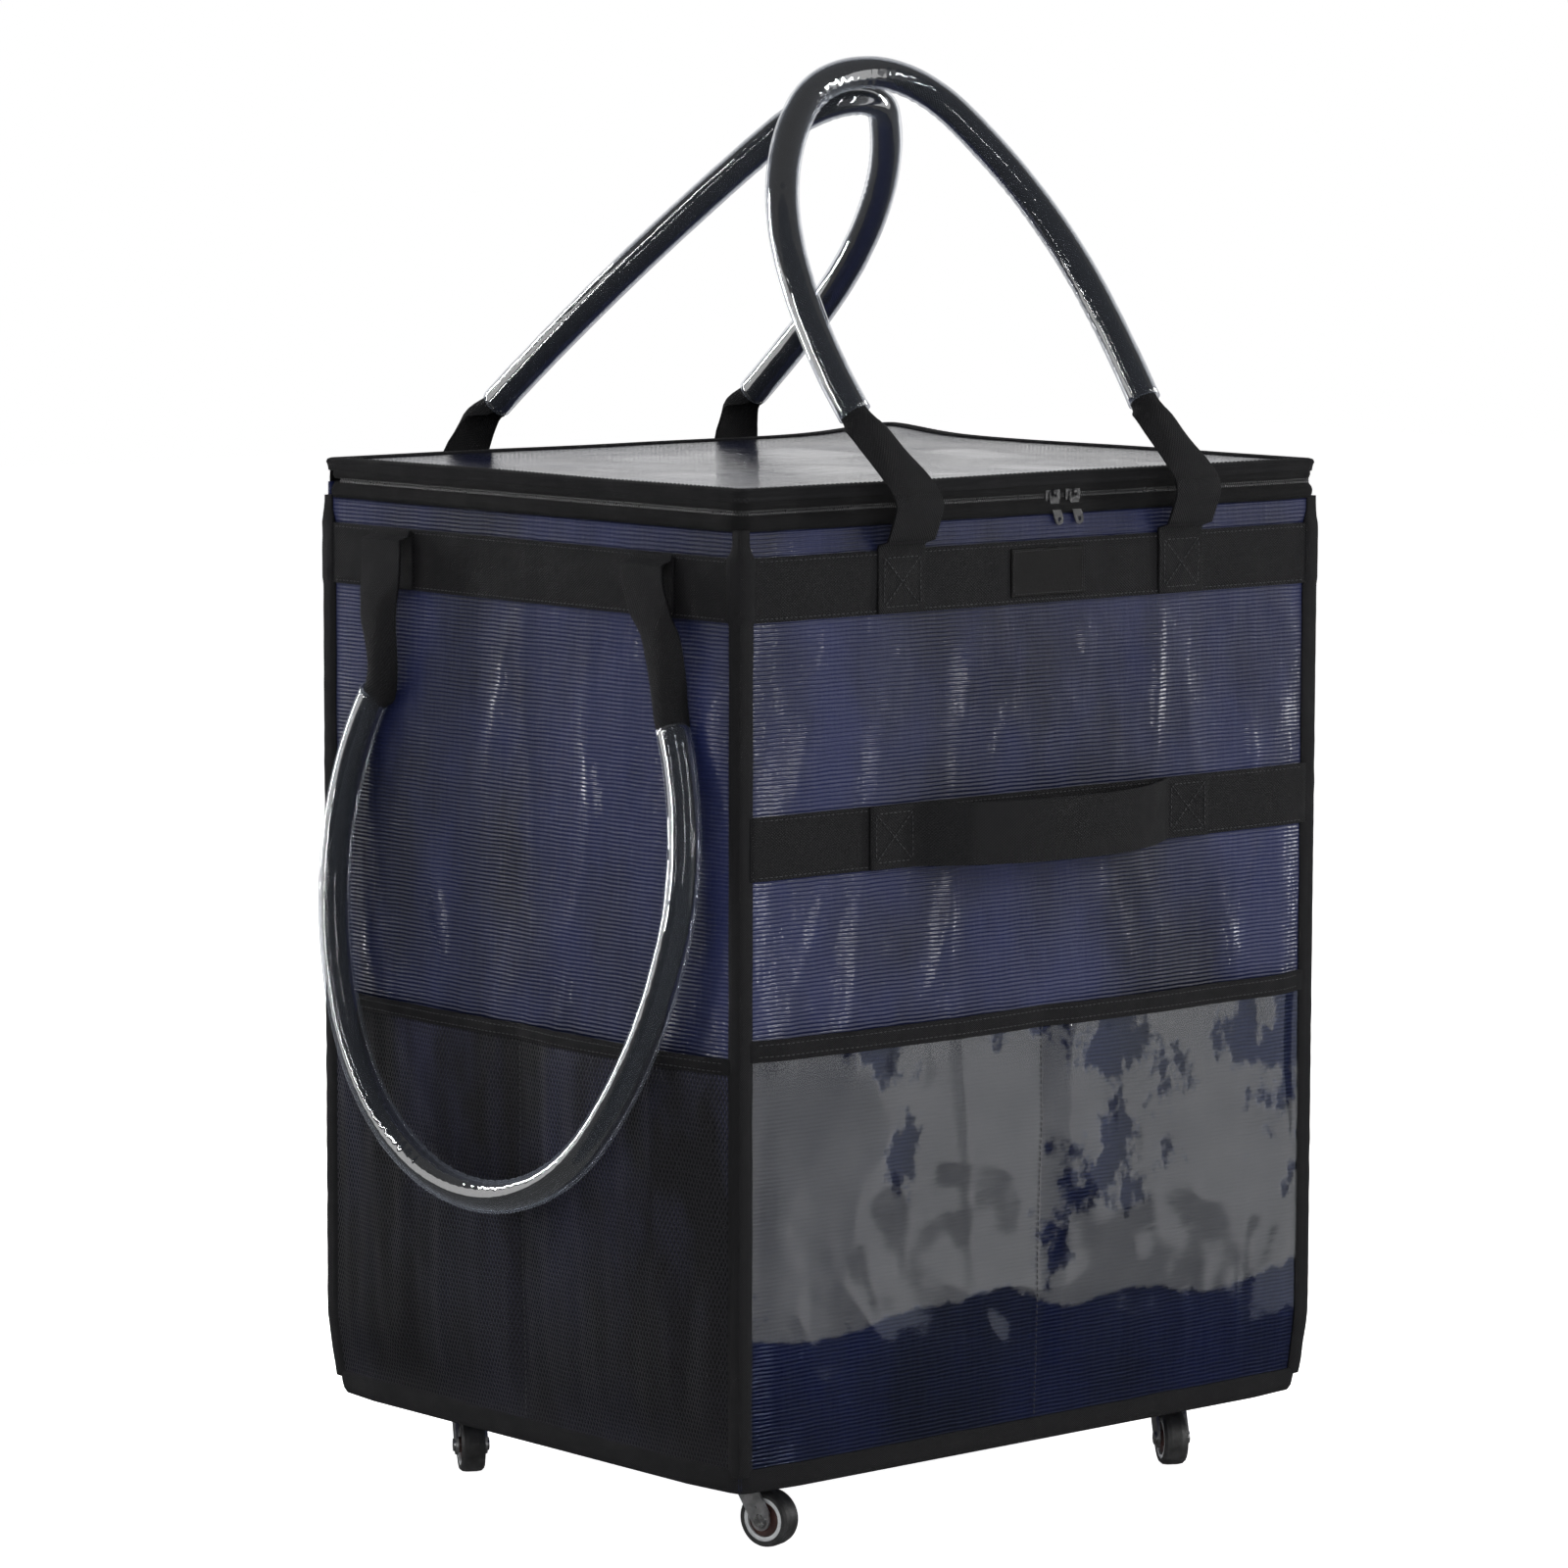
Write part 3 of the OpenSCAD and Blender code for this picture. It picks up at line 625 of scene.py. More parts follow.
# ---- bindings of the body ----
def corner_binding(i):
    """A padded fold over the upright edge between face i and the next one, worked out in mm."""
    j = (i + 1) % 4
    sections = []
    for z in spaced(SEAM_Z - 4 * MM, TOP_Z, 4 * MM):
        fat = 1.9 - 0.9 * ramp(0, 12 * MM, z - BAND_TOP) + 0.35 * noise.noise((i * 3.0, z * 90, 0))
        band = 1.8 * ramp(0.5 * MM, 3 * MM, min(z - BAND_Z + 2 * MM, BAND_TOP + 2 * MM - z))
        w = BIND_W / MM + 0.5 * noise.noise((i * 5.0, z * 30, 2)) - 2.6 * ramp(0, 7 * MM, z - BAND_TOP)
        leg = [(w, 0.2), (w - 0.6, 1.0 + band), (w * 0.5, fat + band * 0.8), (1.5, fat + band * 0.5)]
        here = [spot(i, HALF[i] - a * MM, out * MM, z) for a, out in leg]
        there = [spot(j, a * MM - HALF[j], out * MM, z) for a, out in reversed(leg)]
        corner = (spot(i, HALF[i], 0, z) + spot(j, -HALF[j], 0, z)) / 2
        away = corner - Vector((CX, CY, z))
        away = Vector((math.copysign(1, away.x), math.copysign(1, away.y), 0)).normalized()
        edge = corner + away * (fat + 0.4 + band * 0.3) * MM
        sections.append([*here, edge, *there, corner - away * MM])
    return sweep("corner_binding_%d" % i, sections)


for i in range(4):
    finish(corner_binding(i), "bag", binding_tape, ["corner_bindings"])


def base_profile(_, p):
    """Section of the tape folded round the bottom seam, fuzzy and a little wavy."""
    n = noise.noise((p.x * 30, p.y * 30, 1))
    seam = (SEAM_Z - BOT_Z) / MM + 0.6 * n
    return [(-11, 0.9), (-11, 0.1), (-2, -0.3), (1.0, 0.5), (2.0, 3 + n * 0.3), (2.2 + n * 0.3, 7),
            (1.9, seam - 2), (1.2, seam - 0.4), (0.1, seam), (0.0, 6), (-1.2, 1.2)]


base = around_bag("base_binding_tape", ALL_ROUND, BASE_R, BOT_Z, base_profile)
finish(base, "bag", binding_tape, ["base_binding"])


# ---- webbing bands ----
def web_band(name, i, margin, z0, z1, node):
    """A length of webbing sewn flat on face i, following the panel."""
    def outer(u, z):
        edge = ramp(0, 1.5 * MM, min(z - z0, z1 - z) + 0.5 * MM)
        return belly(i, u, z) + BAND_T * (0.75 + 0.25 * edge)
    us = spaced(margin - HALF[i], HALF[i] - margin, 4 * MM)
    zs = spaced(z0, z1, 4 * MM, 0.7 * MM)
    finish(face_slab(name, i, us, zs, outer, BAND_T), "bag", webbing, [node])


for side, i in FACES.items():
    web_band("upper_band_" + side, i, 4 * MM, BAND_Z, BAND_TOP, "upper_band")
web_band("front_band_web", 0, 6 * MM, MID_Z, MID_TOP, "front_band")


def on_band(i, u, z, lift):
    """A point above the panel of face i."""
    return spot(i, u, belly(i, u, z) + lift, z)


def seam_line(i, points, lift, step=3 * MM):
    """A seam through points (u, z) on face i, as (point, outward)."""
    outward = outward_of(i)
    line = []
    for (u0, z0), (u1, z1) in zip(points, points[1:]):
        n = max(1, round(math.hypot(u1 - u0, z1 - z0) / step))
        for k in range(n + 1):
            u, z = u0 + (u1 - u0) * k / n, z0 + (z1 - z0) * k / n
            line.append((on_band(i, u, z, lift), outward))
    return line


def box_cross(i, u, z):
    """The seams of a sewn square with its diagonals, middle at u, z."""
    r = SEWN_BOX / 2
    a, b, c, d = (u - r, z - r), (u + r, z - r), (u + r, z + r), (u - r, z + r)
    return [seam_line(i, q, SEWN_TOP) for q in ([a, b], [b, c], [c, d], [d, a], [a, c], [b, d])]


band_rows = [(i, z) for i in ALL_ROUND for z in (BAND_Z + 2 * MM, BAND_TOP - 2 * MM)]
band_rows += [(0, MID_Z + 2 * MM), (0, MID_TOP - 2 * MM)]
band_seams = [seam_line(i, [(-HALF[i] + 10 * MM, z), (HALF[i] - 10 * MM, z)], BAND_T + 0.1 * MM)
              for i, z in band_rows]
stitches("band_stitching", band_seams, "bag")

# ---- front grab handle ----
GRAB_END, GRAB_IN, GRAB_OUT = 130 * MM, 96 * MM, 24 * MM
grab = []
for u in spaced(-GRAB_END, GRAB_END, 3 * MM):
    bow = max(0.0, 1 - (u / GRAB_IN) ** 2)
    rise = GRAB_OUT * (1 - (1 - bow) ** 1.25) * (1 + 0.12 * u / GRAB_IN)
    rise += 0.5 * MM * noise.noise((u * 30, 8, 1)) * ramp(0, 0.2, bow)
    rows, sag = [], -1.2 * MM * bow
    zs = spaced(MID_Z, MID_TOP, 4 * MM, 0.7 * MM)
    for face in (1, 0):
        for z in zs if face else reversed(zs):
            up = (z - MID_Z) / WEB_W
            tilt = 1.5 * MM * bow * (0.5 - up) + 1.0 * MM * bow * noise.noise((u * 14, up, 4))
            lift = belly(0, u, z) + BAND_T + 0.15 * MM + rise + tilt + WEB_T * face
            rows.append(spot(0, u, lift, z + sag))
    grab.append(rows)
finish(sweep("front_grab_web", grab), "bag", webbing, ["front_grab_handle"])
grab_seams = []
for u in (-113 * MM, 113 * MM):
    grab_seams += box_cross(0, u, MID_Z + WEB_W / 2)
stitches("grab_stitching", grab_seams, "bag")

# ---- label, left blank ----
LABEL_U, LABEL_W, LABEL_H = 4 * MM, 56 * MM, 27 * MM
LABEL_Z = BAND_Z + WEB_W / 2
label = face_slab("label_cloth", 0, spaced(LABEL_U - LABEL_W / 2, LABEL_U + LABEL_W / 2, 3 * MM, 0.5 * MM),
                  spaced(LABEL_Z - LABEL_H / 2, LABEL_Z + LABEL_H / 2, 3 * MM, 0.5 * MM),
                  lambda u, z: belly(0, u, z) + BAND_T + 0.9 * MM, 0.8 * MM)
finish(label, "bag", satin, ["label_patch"])
edge_w, edge_h = LABEL_W / 2 - 1.6 * MM, LABEL_H / 2 - 1.6 * MM
ring = [(LABEL_U + a * edge_w, LABEL_Z + b * edge_h) for a, b in ((-1, -1), (1, -1), (1, 1), (-1, 1), (-1, -1))]
stitches("label_stitching", [seam_line(0, side, BAND_T + 1.0 * MM) for side in zip(ring, ring[1:])],
         "bag", pitch=2 * MM, length=1.4 * MM, radius=0.2 * MM)


# ---- pockets ----
def pouch(u, w, gap):
    """How far two pouches, each w wide, stand off at u."""
    return gap * (1 - (2 * abs(u) / w - 1) ** 2)


def film_out(u, z):
    """The outside of the clear pocket: two slack pouches in a stiff wavy film."""
    w, h = HW - BIND_W, (z - SEAM_Z) / (POCKET_Z - SEAM_Z)
    slack = ramp(0, 0.14, h) * ramp(0, 20 * MM, w - abs(u)) * ramp(0, 22 * MM, abs(u))
    gap = pouch(u, w, 4.2 * MM) * (0.35 + 0.65 * h)
    waves = 1.5 * noise.noise((u * 8, z * 7, 71)) + 0.35 * noise.noise((u * 22, z * 15, 5))
    buckle = max(0, 1 - abs(noise.noise((u * 13 + z * 6, z * 7, 12))) * 3) ** 2
    return belly(0, u, z) + 0.9 * MM + gap * ramp(0, 0.2, h) + slack * (1.4 + waves + 0.5 * buckle) * MM


def mesh_out(i, u, z):
    """The outside of a mesh pocket: two soft pouches with upright gathers."""
    w, h = HD - BIND_W, (z - SEAM_Z) / (MESH_Z - SEAM_Z)
    free = ramp(0, 18 * MM, w - abs(u)) * ramp(0, 14 * MM, abs(u)) * ramp(0, 0.15, h)
    gather = noise.noise((u * 38, z * 5, 40 + i)) + 0.5 * noise.noise((u * 80, z * 9, 44 + i))
    slump = 1.8 * noise.noise((u * 12, z * 9, 50 + i))
    edge = 1 - 0.6 * ramp(0.9, 1.0, h)
    return (belly(i, u, z) + 1.0 * MM + pouch(u, w, 4.0 * MM) * ramp(0, 0.25, h)
            + free * edge * (2.5 * gather + slump + 1.8) * MM)


def pocket(name, i, half, top, outer, look, node):
    """One pocket sheet, from the bottom seam to its top edge."""
    us, zs = spaced(-half, half, 2.5 * MM), spaced(SEAM_Z - 6 * MM, top - 1 * MM, 3 * MM)
    obj = face_slab(name, i, us, zs, outer, 0.5 * MM)
    finish(obj, "bag", look, [node])


def pocket_hem(name, i, half, top, height, outer, node):
    """The tape folded over a pocket's top edge, height in mm."""
    sections = []
    for u in spaced(-half, half, 3 * MM):
        low, mid, high = (outer(u, top - drop * MM) / MM for drop in (height, height / 2, 0))
        edge = 0.4 * noise.noise((u * 25, i, 3))
        profile = [(low + 0.1, -height), (low + 0.8, 0.5 - height), (mid + 1.0, -height / 2),
                   (high + 0.9, edge - 1.5), (high + 0.4, edge), (high - 0.6, edge), (high - 1.0, edge - 1.5),
                   (mid - 0.8, -height / 2), (low - 0.8, 0.5 - height), (low - 0.6, -height)]
        sections.append([spot(i, u, out * MM, top + up * MM) for out, up in profile])
    finish(sweep(name, sections), "bag", binding_tape, [node])


FRONT_HALF, SIDE_HALF = HW - BIND_W + 3 * MM, HD - BIND_W + 3 * MM
pocket("front_pocket_film", 0, FRONT_HALF, POCKET_Z, film_out, film, "front_pocket")
pocket_hem("front_pocket_hem", 0, FRONT_HALF, POCKET_Z, 12, film_out, "front_pocket_binding")
MESH_OUT = {i: (lambda u, z, i=i: mesh_out(i, u, z)) for i in (1, 3)}
for side, i in (("left", 3), ("right", 1)):
    pocket(side + "_pocket_mesh", i, SIDE_HALF, MESH_Z, MESH_OUT[i], mesh_cloth,
           side + "_mesh_pocket")
    pocket_hem(side + "_pocket_hem", i, SIDE_HALF, MESH_Z, 9, MESH_OUT[i], "mesh_pocket_bindings")
pocket_seams = []
for i, outer, top, hem in ((0, film_out, POCKET_Z, 9 * MM), (1, MESH_OUT[1], MESH_Z, 7 * MM),
                           (3, MESH_OUT[3], MESH_Z, 7 * MM)):
    rows = [[(0, z, 0.1 * MM) for z in spaced(SEAM_Z, top - 12 * MM, 4 * MM)]]
    for z in (top - hem, top - 2.5 * MM):
        rows.append([(u, z, 1.0 * MM) for u in spaced(-HALF[i] + 10 * MM, HALF[i] - 10 * MM, 4 * MM)])
    for row in rows:
        pocket_seams.append([(spot(i, u, outer(u, z) + lift, z), outward_of(i)) for u, z, lift in row])
stitches("pocket_stitching", pocket_seams, "bag")

# ---- zipper: tapes and coils round the front and both sides ----
def lower_tape(_, p):
    """Section of the rolled tape under the chain, over the panel's top edge."""
    n = noise.noise((p.x * 18, p.y * 18, 7))
    return [(-1.4, -0.9), (0.3, -1.0), (0.8, -2.2), (2.0 + 0.3 * n, -3.6), (2.7 + 0.5 * n, -5.6),
            (2.4 + 0.5 * n, -8.0), (1.2, -9.8 - 0.5 * n), (0.2, -10.4 - 0.5 * n), (-2.2, -10.0), (-2.3, -2)]


def upper_tape(_, p):
    """Section of the tape between the chain and the lid."""
    n = noise.noise((p.x * 16, p.y * 16, 17))
    top = (LID_Z - ZIP_Z) / MM - 1.6
    return [(-1.4, 0.9), (0.3, 1.0), (0.8, 2.0), (1.5 + 0.4 * n, 3.4), (1.3 + 0.4 * n, 5.4),
            (0.4, 6.6), (-0.4, top), (-2.3, top), (-2.3, 2)]


for name, profile, body, node in (("zipper_tape_low", lower_tape, "bag", "zipper_tape_lower"),
                                  ("zipper_tape_high", upper_tape, "lid", "zipper_tape_upper")):
    finish(around_bag(name, ZIP_FACES, ZIP_R, ZIP_Z, profile), body, zip_tape, [node])
COIL_PITCH, TOOTH_HALF = 1.55 * MM, 0.5 * MM


def coil_teeth(name, body, node, z0, z1, phase):
    """The turns of one coil, each a small rounded bar across the chain."""
    verts, faces = [], []
    track = [Vector((p.x + nx * ZIP_R, p.y + ny * ZIP_R, 0))
             for _, p, nx, ny in rim(ZIP_FACES, ZIP_R, 6 * MM)]
    run = cumulative(track) * MM
    for s in np.arange(6 * MM + phase * COIL_PITCH, run[-1] - 6 * MM, COIL_PITCH):
        _, at, along = spot_along(track, run, s)
        out = Vector((along.y, -along.x, 0))
        faces += prism_faces(len(verts), 4, 4)
        for z, deep in ((z0, 0.5), (z0 + 0.5 * MM, 1.0), (z1 - 0.5 * MM, 1.0), (z1, 0.5)):
            for a, o in ((-1, -1.3), (-0.8, 0.45 * deep), (0.8, 0.45 * deep), (1, -1.3)):
                verts.append(at + along * TOOTH_HALF * a + out * o * MM + Vector((0, 0, z)))
    finish(small_parts(name, verts, faces), body, coil, [node])


coil_teeth("zipper_coil_low", "bag", "zipper_chain_lower", ZIP_Z - 2.5 * MM, ZIP_Z + 0.15 * MM, 0)
coil_teeth("zipper_coil_high", "lid", "zipper_chain_upper", ZIP_Z - 0.15 * MM, ZIP_Z + 2.5 * MM, 0.5)


# ---- lid ----
def lid_wave(x, y):
    """How far the lid's cloth lies above flat, x and y from the bag's middle."""
    inside = ramp(0, 45 * MM, HW - abs(x)) * ramp(0, 45 * MM, HD - abs(y))
    swell = 1.7 * noise.noise((x * 5 + 3, y * 6, 9)) + 0.9 * noise.noise((x * 14, y * 10, 2))
    hump = 5.0 * bump(x - HW, 0.05) * bump(y - HD, 0.045)
    return (inside * (swell - 1.2 * inside) + hump + 0.5 * noise.noise((x * 9, y * 9, 33))) * MM


lid_rows = []
for x in spaced(-HW + 1.5 * MM, HW - 1.5 * MM, 4 * MM):
    ys = spaced(-HD + 1.5 * MM, HD - 1.5 * MM, 4 * MM)
    high = [Vector((CX + x, CY + y, LID_Z + lid_wave(x, y))) for y in ys]
    lid_rows.append(high + [p - Vector((0, 0, 1.3 * MM)) for p in reversed(high)])
lid_sheet = finish(sweep("lid_cloth", lid_rows), "lid", lid_laminate, ["lid_panel"])


def lid_edge(i, p):
    """Section of the tape folded round the lid's edge, with its leg down to the zipper tape."""
    w, inner = (lid_wave((p.x - CX) * share, (p.y - CY) * share) / MM for share in (1, 0.97))
    n = noise.noise((p.x * 22, p.y * 22, 27))
    low = -6.0 + 0.3 * n if i != 2 else -2.5
    return [(-9.5, inner + 0.1), (-8.8, inner + 0.9), (-4, w + 1.2), (-0.5, w + 1.3), (1.6, w + 0.6),
            (2.4 + 0.3 * n, w * 0.8 - 1.0), (1.7, w * 0.5 - 2.4), (1.5, w * 0.3 - 3.0), (0.9, low),
            (-1.2, low), (-2.0, w - 1.8), (-9.5, inner - 1.5)]


edge = around_bag("lid_binding_tape", ALL_ROUND, LID_R, LID_Z, lid_edge)
finish(edge, "lid", binding_tape, ["lid_binding"])
lid_seam, UP = [], Vector((0, 0, 1))
for _, p, nx, ny in rim(ALL_ROUND, LID_R, 5 * MM):
    inner = lid_wave((p.x - CX) * 0.985, (p.y - CY) * 0.985)
    point = Vector((p.x - nx * 2.5 * MM, p.y - ny * 2.5 * MM, LID_Z + inner + 1.15 * MM))
    lid_seam.append((point, UP))
stitches("lid_stitching", [lid_seam], "lid")

hinge_rows = []
for x in spaced(-HW + 3 * MM, HW - 3 * MM, 8 * MM):
    zs = spaced(ZIP_Z - 9 * MM, LID_Z - 1.2 * MM, 1.5 * MM)
    outs = [0.2 * MM + 0.9 * MM * bump(z - ZIP_Z, 0.006) for z in zs]
    outer = [Vector((CX + x, CY + HD + o, z)) for o, z in zip(outs, zs)]
    hinge_rows.append(outer + [p - Vector((0, 1.0 * MM, 0)) for p in reversed(outer)])
hinge_strip = finish(sweep("lid_hinge_cloth", hinge_rows), None, zip_tape, ["lid_hinge_strip"])
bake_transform(hinge_strip)


# ---- hose handles ----
def arcs_down(arcs, depth, step):
    """Spots (across, up, heading) along arcs (radius, degrees) from the top heading across, down to depth."""
    x = y = heading = 0.0
    spots = [(0.0, 0.0, 0.0)]
    for k, (radius, angle) in enumerate(arcs):
        turn = math.radians(angle)
        if k == len(arcs) - 1:
            turn = math.acos(math.cos(heading) - (depth + y) / radius) - heading
        n = max(2, round(radius * turn / step))
        for q in range(1, n + 1):
            t = heading + turn * q / n
            spots.append((x + radius * (math.sin(t) - math.sin(heading)),
                          y - radius * (math.cos(heading) - math.cos(t)), t))
        x, y, heading = spots[-1]
    return spots


class Loop:
    """The centre line of a hose handle, in the plane through its apex."""

    def __init__(self, apex, foot, across, left, right):
        self.apex, self.across = bag(*apex), Vector(across)
        down = bag(*foot) - self.apex
        self.up = -Vector((0 if across[0] else down.x, 0 if across[1] else down.y, down.z)).normalized()
        self.out = self.across.cross(self.up)
        self.left, self.right = left, right

    def line(self, depth, step=3.0):
        """Points with the direction towards the outside of the bend, foot to foot."""
        left = [(-x, y, -t) for x, y, t in arcs_down(self.left, depth, step)]
        spots = left[:0:-1] + arcs_down(self.right, depth, step)
        return [(self.apex + (self.across * x + self.up * y) * MM,
                 self.across * math.sin(t) + self.up * math.cos(t)) for x, y, t in spots]


def hose_mesh(name, loop, depth, kinks, seed):
    """A clear tube with a wall, dented at kinks (share of its length, size in mm)."""
    line = loop.line(depth)
    run = cumulative([p for p, _ in line])
    around = 28
    outside, inside = [], []
    for (point, bend), s in zip(line, run):
        share = s / run[-1]
        outer, inner = [], []
        for k in range(around):
            a = 2 * math.pi * k / around
            dent = 0.16 * noise.noise((math.cos(a) * 1.2, math.sin(a) * 1.2, s / 16 + seed))
            for at, size in kinks:
                side = 0.5 + 0.5 * math.cos(a - math.pi)
                near = bump((share - at) * run[-1], 26)
                dent -= size * near * side ** 2 * (0.5 + 0.5 * math.sin(s * 0.85 + 1.5 * math.sin(a) + seed))
            direction = bend * math.cos(a) + loop.out * math.sin(a)
            outer.append(point + direction * (HOSE_R + dent * MM))
            inner.append(point + direction * (HOSE_R - HOSE_WALL + dent * 0.8 * MM))
        outside.append(outer)
        inside.append(inner)
    return sweep(name, outside + inside[::-1], ring=True)


def core_mesh(name, loop, depth):
    """The webbing rolled up inside a hose."""
    return ribbon(name, [(p, bend, loop.out, WEB_W, CURL) for p, bend in loop.line(depth, 4.0)], across=22)


STRAP_STEPS = 5


def strap_line(knots):
    """Stations of a strap that runs smoothly through knots (point, side, out, curl)."""
    stations = []
    for q, centre in enumerate(catmull([knot[0] for knot in knots], STRAP_STEPS)):
        k = min(q // STRAP_STEPS, len(knots) - 2)
        t = ramp(0, STRAP_STEPS, q - k * STRAP_STEPS)
        (_, side_a, out_a, curl_a), (_, side_b, out_b, curl_b) = knots[k:k + 2]
        side = side_a.lerp(side_b, t).normalized()
        out = out_a.lerp(out_b, t)
        out = (out - side * out.dot(side)).normalized()
        stations.append((centre, side, out, STRAP_W, curl_a + (curl_b - curl_a) * t))
    return stations


LOOPS = {
    "front": Loop((-9, -50, 817), (-9, -189, 621), (1, 0, 0), [(93, 42), (194, 36), (295, 22)],
                  [(62, 58), (270, 28), (637, 8)]),
    "back": Loop((1, -31, 802), (1, 186, 612), (1, 0, 0), [(45, 70), (1200, 12)],
                 [(36.7, 50.2), (305.7, 39.4), (1034, 4)]),
    "pull": Loop((-247, 12, 188), (-227, 12, 520.5), (0, -1, 0), [(137, 65), (207, 40), (207, 26)],
                 [(135, 49.5), (281, 25.2), (183, 48)]),
}
HOSE_DEPTH = {"front": 226.3, "back": 272.4, "pull": 276}
KINKS = {"front": [(0.43, 1.1), (0.52, 1.3), (0.60, 0.8), (0.74, 0.7), (0.88, 0.5)],
         "back": [(0.40, 0.8), (0.50, 1.0), (0.66, 0.5)],
         "pull": [(0.36, 1.2), (0.44, 1.5), (0.52, 1.3), (0.24, 0.7), (0.6, 0.7)]}
for k, (key, loop) in enumerate(LOOPS.items()):
    tube = hose_mesh(key + "_hose_tube", loop, HOSE_DEPTH[key], KINKS[key], 10 * k)
    finish(tube, key + "_handle", hose_pvc, [key + "_handle_hose"])
    core = core_mesh(key + "_hose_core", loop, HOSE_DEPTH[key] - 2)
    finish(core, key + "_handle", webbing, [key + "_handle_webbing"])


def mouths(key):
    """The two ends of a hose's centre line with the direction along it, away from the hose."""
    line = [p for p, _ in LOOPS[key].line(HOSE_DEPTH[key])]
    return [(end, (end - last).normalized()) for end, last in (line[:2], line[:-3:-1])]


def carry_strap(key, i, mouth, away):
    """One end of a carrying handle: sewn on the band of face i, free up to its hose and rolled into it."""
    sign = 1 if mouth.x > CX else -1
    outward, side = outward_of(i), Vector((1, 0, 0))
    u = 107 * MM * sign * (1 if i == 0 else -1)
    foot = [on_band(i, u, z, SEWN_MID) for z in spaced(BAND_Z + 0.5 * MM, BAND_TOP - 2 * MM, 5 * MM)]
    lean = mouth.x - foot[0].x
    swing = 12 * MM if i == 0 else 7 * MM
    inward = facing(LOOPS[key].out, outward)
    across = facing(away.cross(inward), side)
    free = [
        (spot(i, u, SEWN_MID + 1.2 * MM, BAND_TOP + 3 * MM), 0, 0.0),
        (spot(i, u, SEWN_MID + swing * 0.62, BAND_TOP + 17 * MM), 0, 0.1),
        (spot(i, u, SEWN_MID + swing, BAND_TOP + 31 * MM) + Vector((lean * 0.12, 0, 0)), 0.15, 0.45),
        (mouth + away * 15 * MM + outward * 2 * MM - Vector((lean * 0.10, 0, 0)), 0.7, 2.2),
        (mouth + away * 1 * MM, 1, CURL * 0.93),
        (mouth - away * 14 * MM, 1, CURL),
    ]
    knots = [(p, side, outward, 0.0) for p in foot]
    knots += [(p, side.lerp(across, turn).normalized(), outward.lerp(inward, turn).normalized(), curl)
              for p, turn, curl in free]
    stations = strap_line(knots)
    cut = next(k for k, station in enumerate(stations) if station[0].z > BAND_TOP + 31 * MM)
    name = "%s_strap_%s" % (key, "right" if sign > 0 else "left")
    lower = finish(ribbon(name + "_low", stations[:cut + 1]), None, webbing,
                   [key + "_strap_ends", "handle_sewn_ends"])
    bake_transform(lower)
    upper = finish(ribbon(name + "_high", stations[cut:]), None, webbing, [key + "_strap_ends"])
    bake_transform(upper)
    return box_cross(i, u, BAND_Z + WEB_W / 2)


def pull_strap(mouth, away):
    """One end of the pull handle: folded down from the left band and rolled into the hose."""
    u = -math.copysign(116 * MM, mouth.y - CY)
    side, outward = Vector((0, 1, 0)), Vector((-1, 0, 0))
    crest = SEWN_MID + 2.2 * MM
    up = [on_band(3, u, z, SEWN_MID) for z in spaced(BAND_Z + 1 * MM, BAND_TOP - 3 * MM, 6 * MM)]
    knots = [(p, side, outward, 0.0) for p in up]
    knots.append((spot(3, u, SEWN_MID + 1.2 * MM, BAND_TOP - 0.8 * MM), side,
                  Vector((-0.6, 0, 0.8)).normalized(), 0.0))
    for out, drop, curl in ((0.4, 4, 0.0), (0.8, 16, 0.1), (2.0, 32, 0.5), (4.0, 50, 1.3)):
        shift = Vector((0, (mouth.y - spot(3, u, 0, 0).y) * ramp(10, 75, drop), 0))
        knots.append((spot(3, u, crest + out * MM, BAND_TOP - drop * MM) + shift, side, outward, curl))
    inward = facing(LOOPS["pull"].out, outward)
    across = facing(away.cross(inward), side)
    knots.append((mouth + away * 8 * MM + outward * 0.5 * MM, across, inward, 3.0))
    knots.append((mouth - away * 12 * MM, across, inward, CURL))
    name = "pull_strap_" + ("back" if mouth.y > CY else "near")
    strap = finish(ribbon(name, strap_line(knots)), None, webbing, ["handle_sewn_ends"])
    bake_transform(strap)


sewn_seams = []
for key, i in (("front", 0), ("back", 2)):
    for mouth, away in mouths(key):
        sewn_seams += carry_strap(key, i, mouth, away)
for mouth, away in mouths("pull"):
    pull_strap(mouth, away)
stitches("sewn_end_stitching", sewn_seams, "bag")

# ---- the metal and moulded parts keep their CAD shape ----
NODE_FINISH = {
    "base_board": board, "caster_plates": zinc, "caster_screws": rivet, "caster_kingpins": rivet,
    "zip_slider_left": black_metal, "zip_slider_right": black_metal,
    "zip_pull_left": black_metal, "zip_pull_right": black_metal,
}
BEVELS = {"fork": 0.35 * MM, "caster": 0.3 * MM, "axle": 0.3 * MM, "hub": 0.25 * MM, "zip": 0.18 * MM,
          "tyre": 0.3 * MM}
CORNERS = ("fl", "fr", "bl", "br")
for corner in CORNERS:
    NODE_FINISH.update({"fork_" + corner: zinc, "axle_" + corner: rivet, "hub_" + corner: hub_plastic,
                        "tyre_" + corner: rubber})
for name, material in NODE_FINISH.items():
    node = frame["nodes"][name]
    node.data.materials.clear()
    node.data.materials.append(material)
    width = BEVELS.get(name.split("_")[0])
    if width:
        node.data.shade_smooth()
        rounded = node.modifiers.new("edges", "BEVEL")
        rounded.width = width
        rounded.segments = 2
        rounded.limit_method = "ANGLE"
        rounded.harden_normals = True
RIM_R = 9.8 * MM
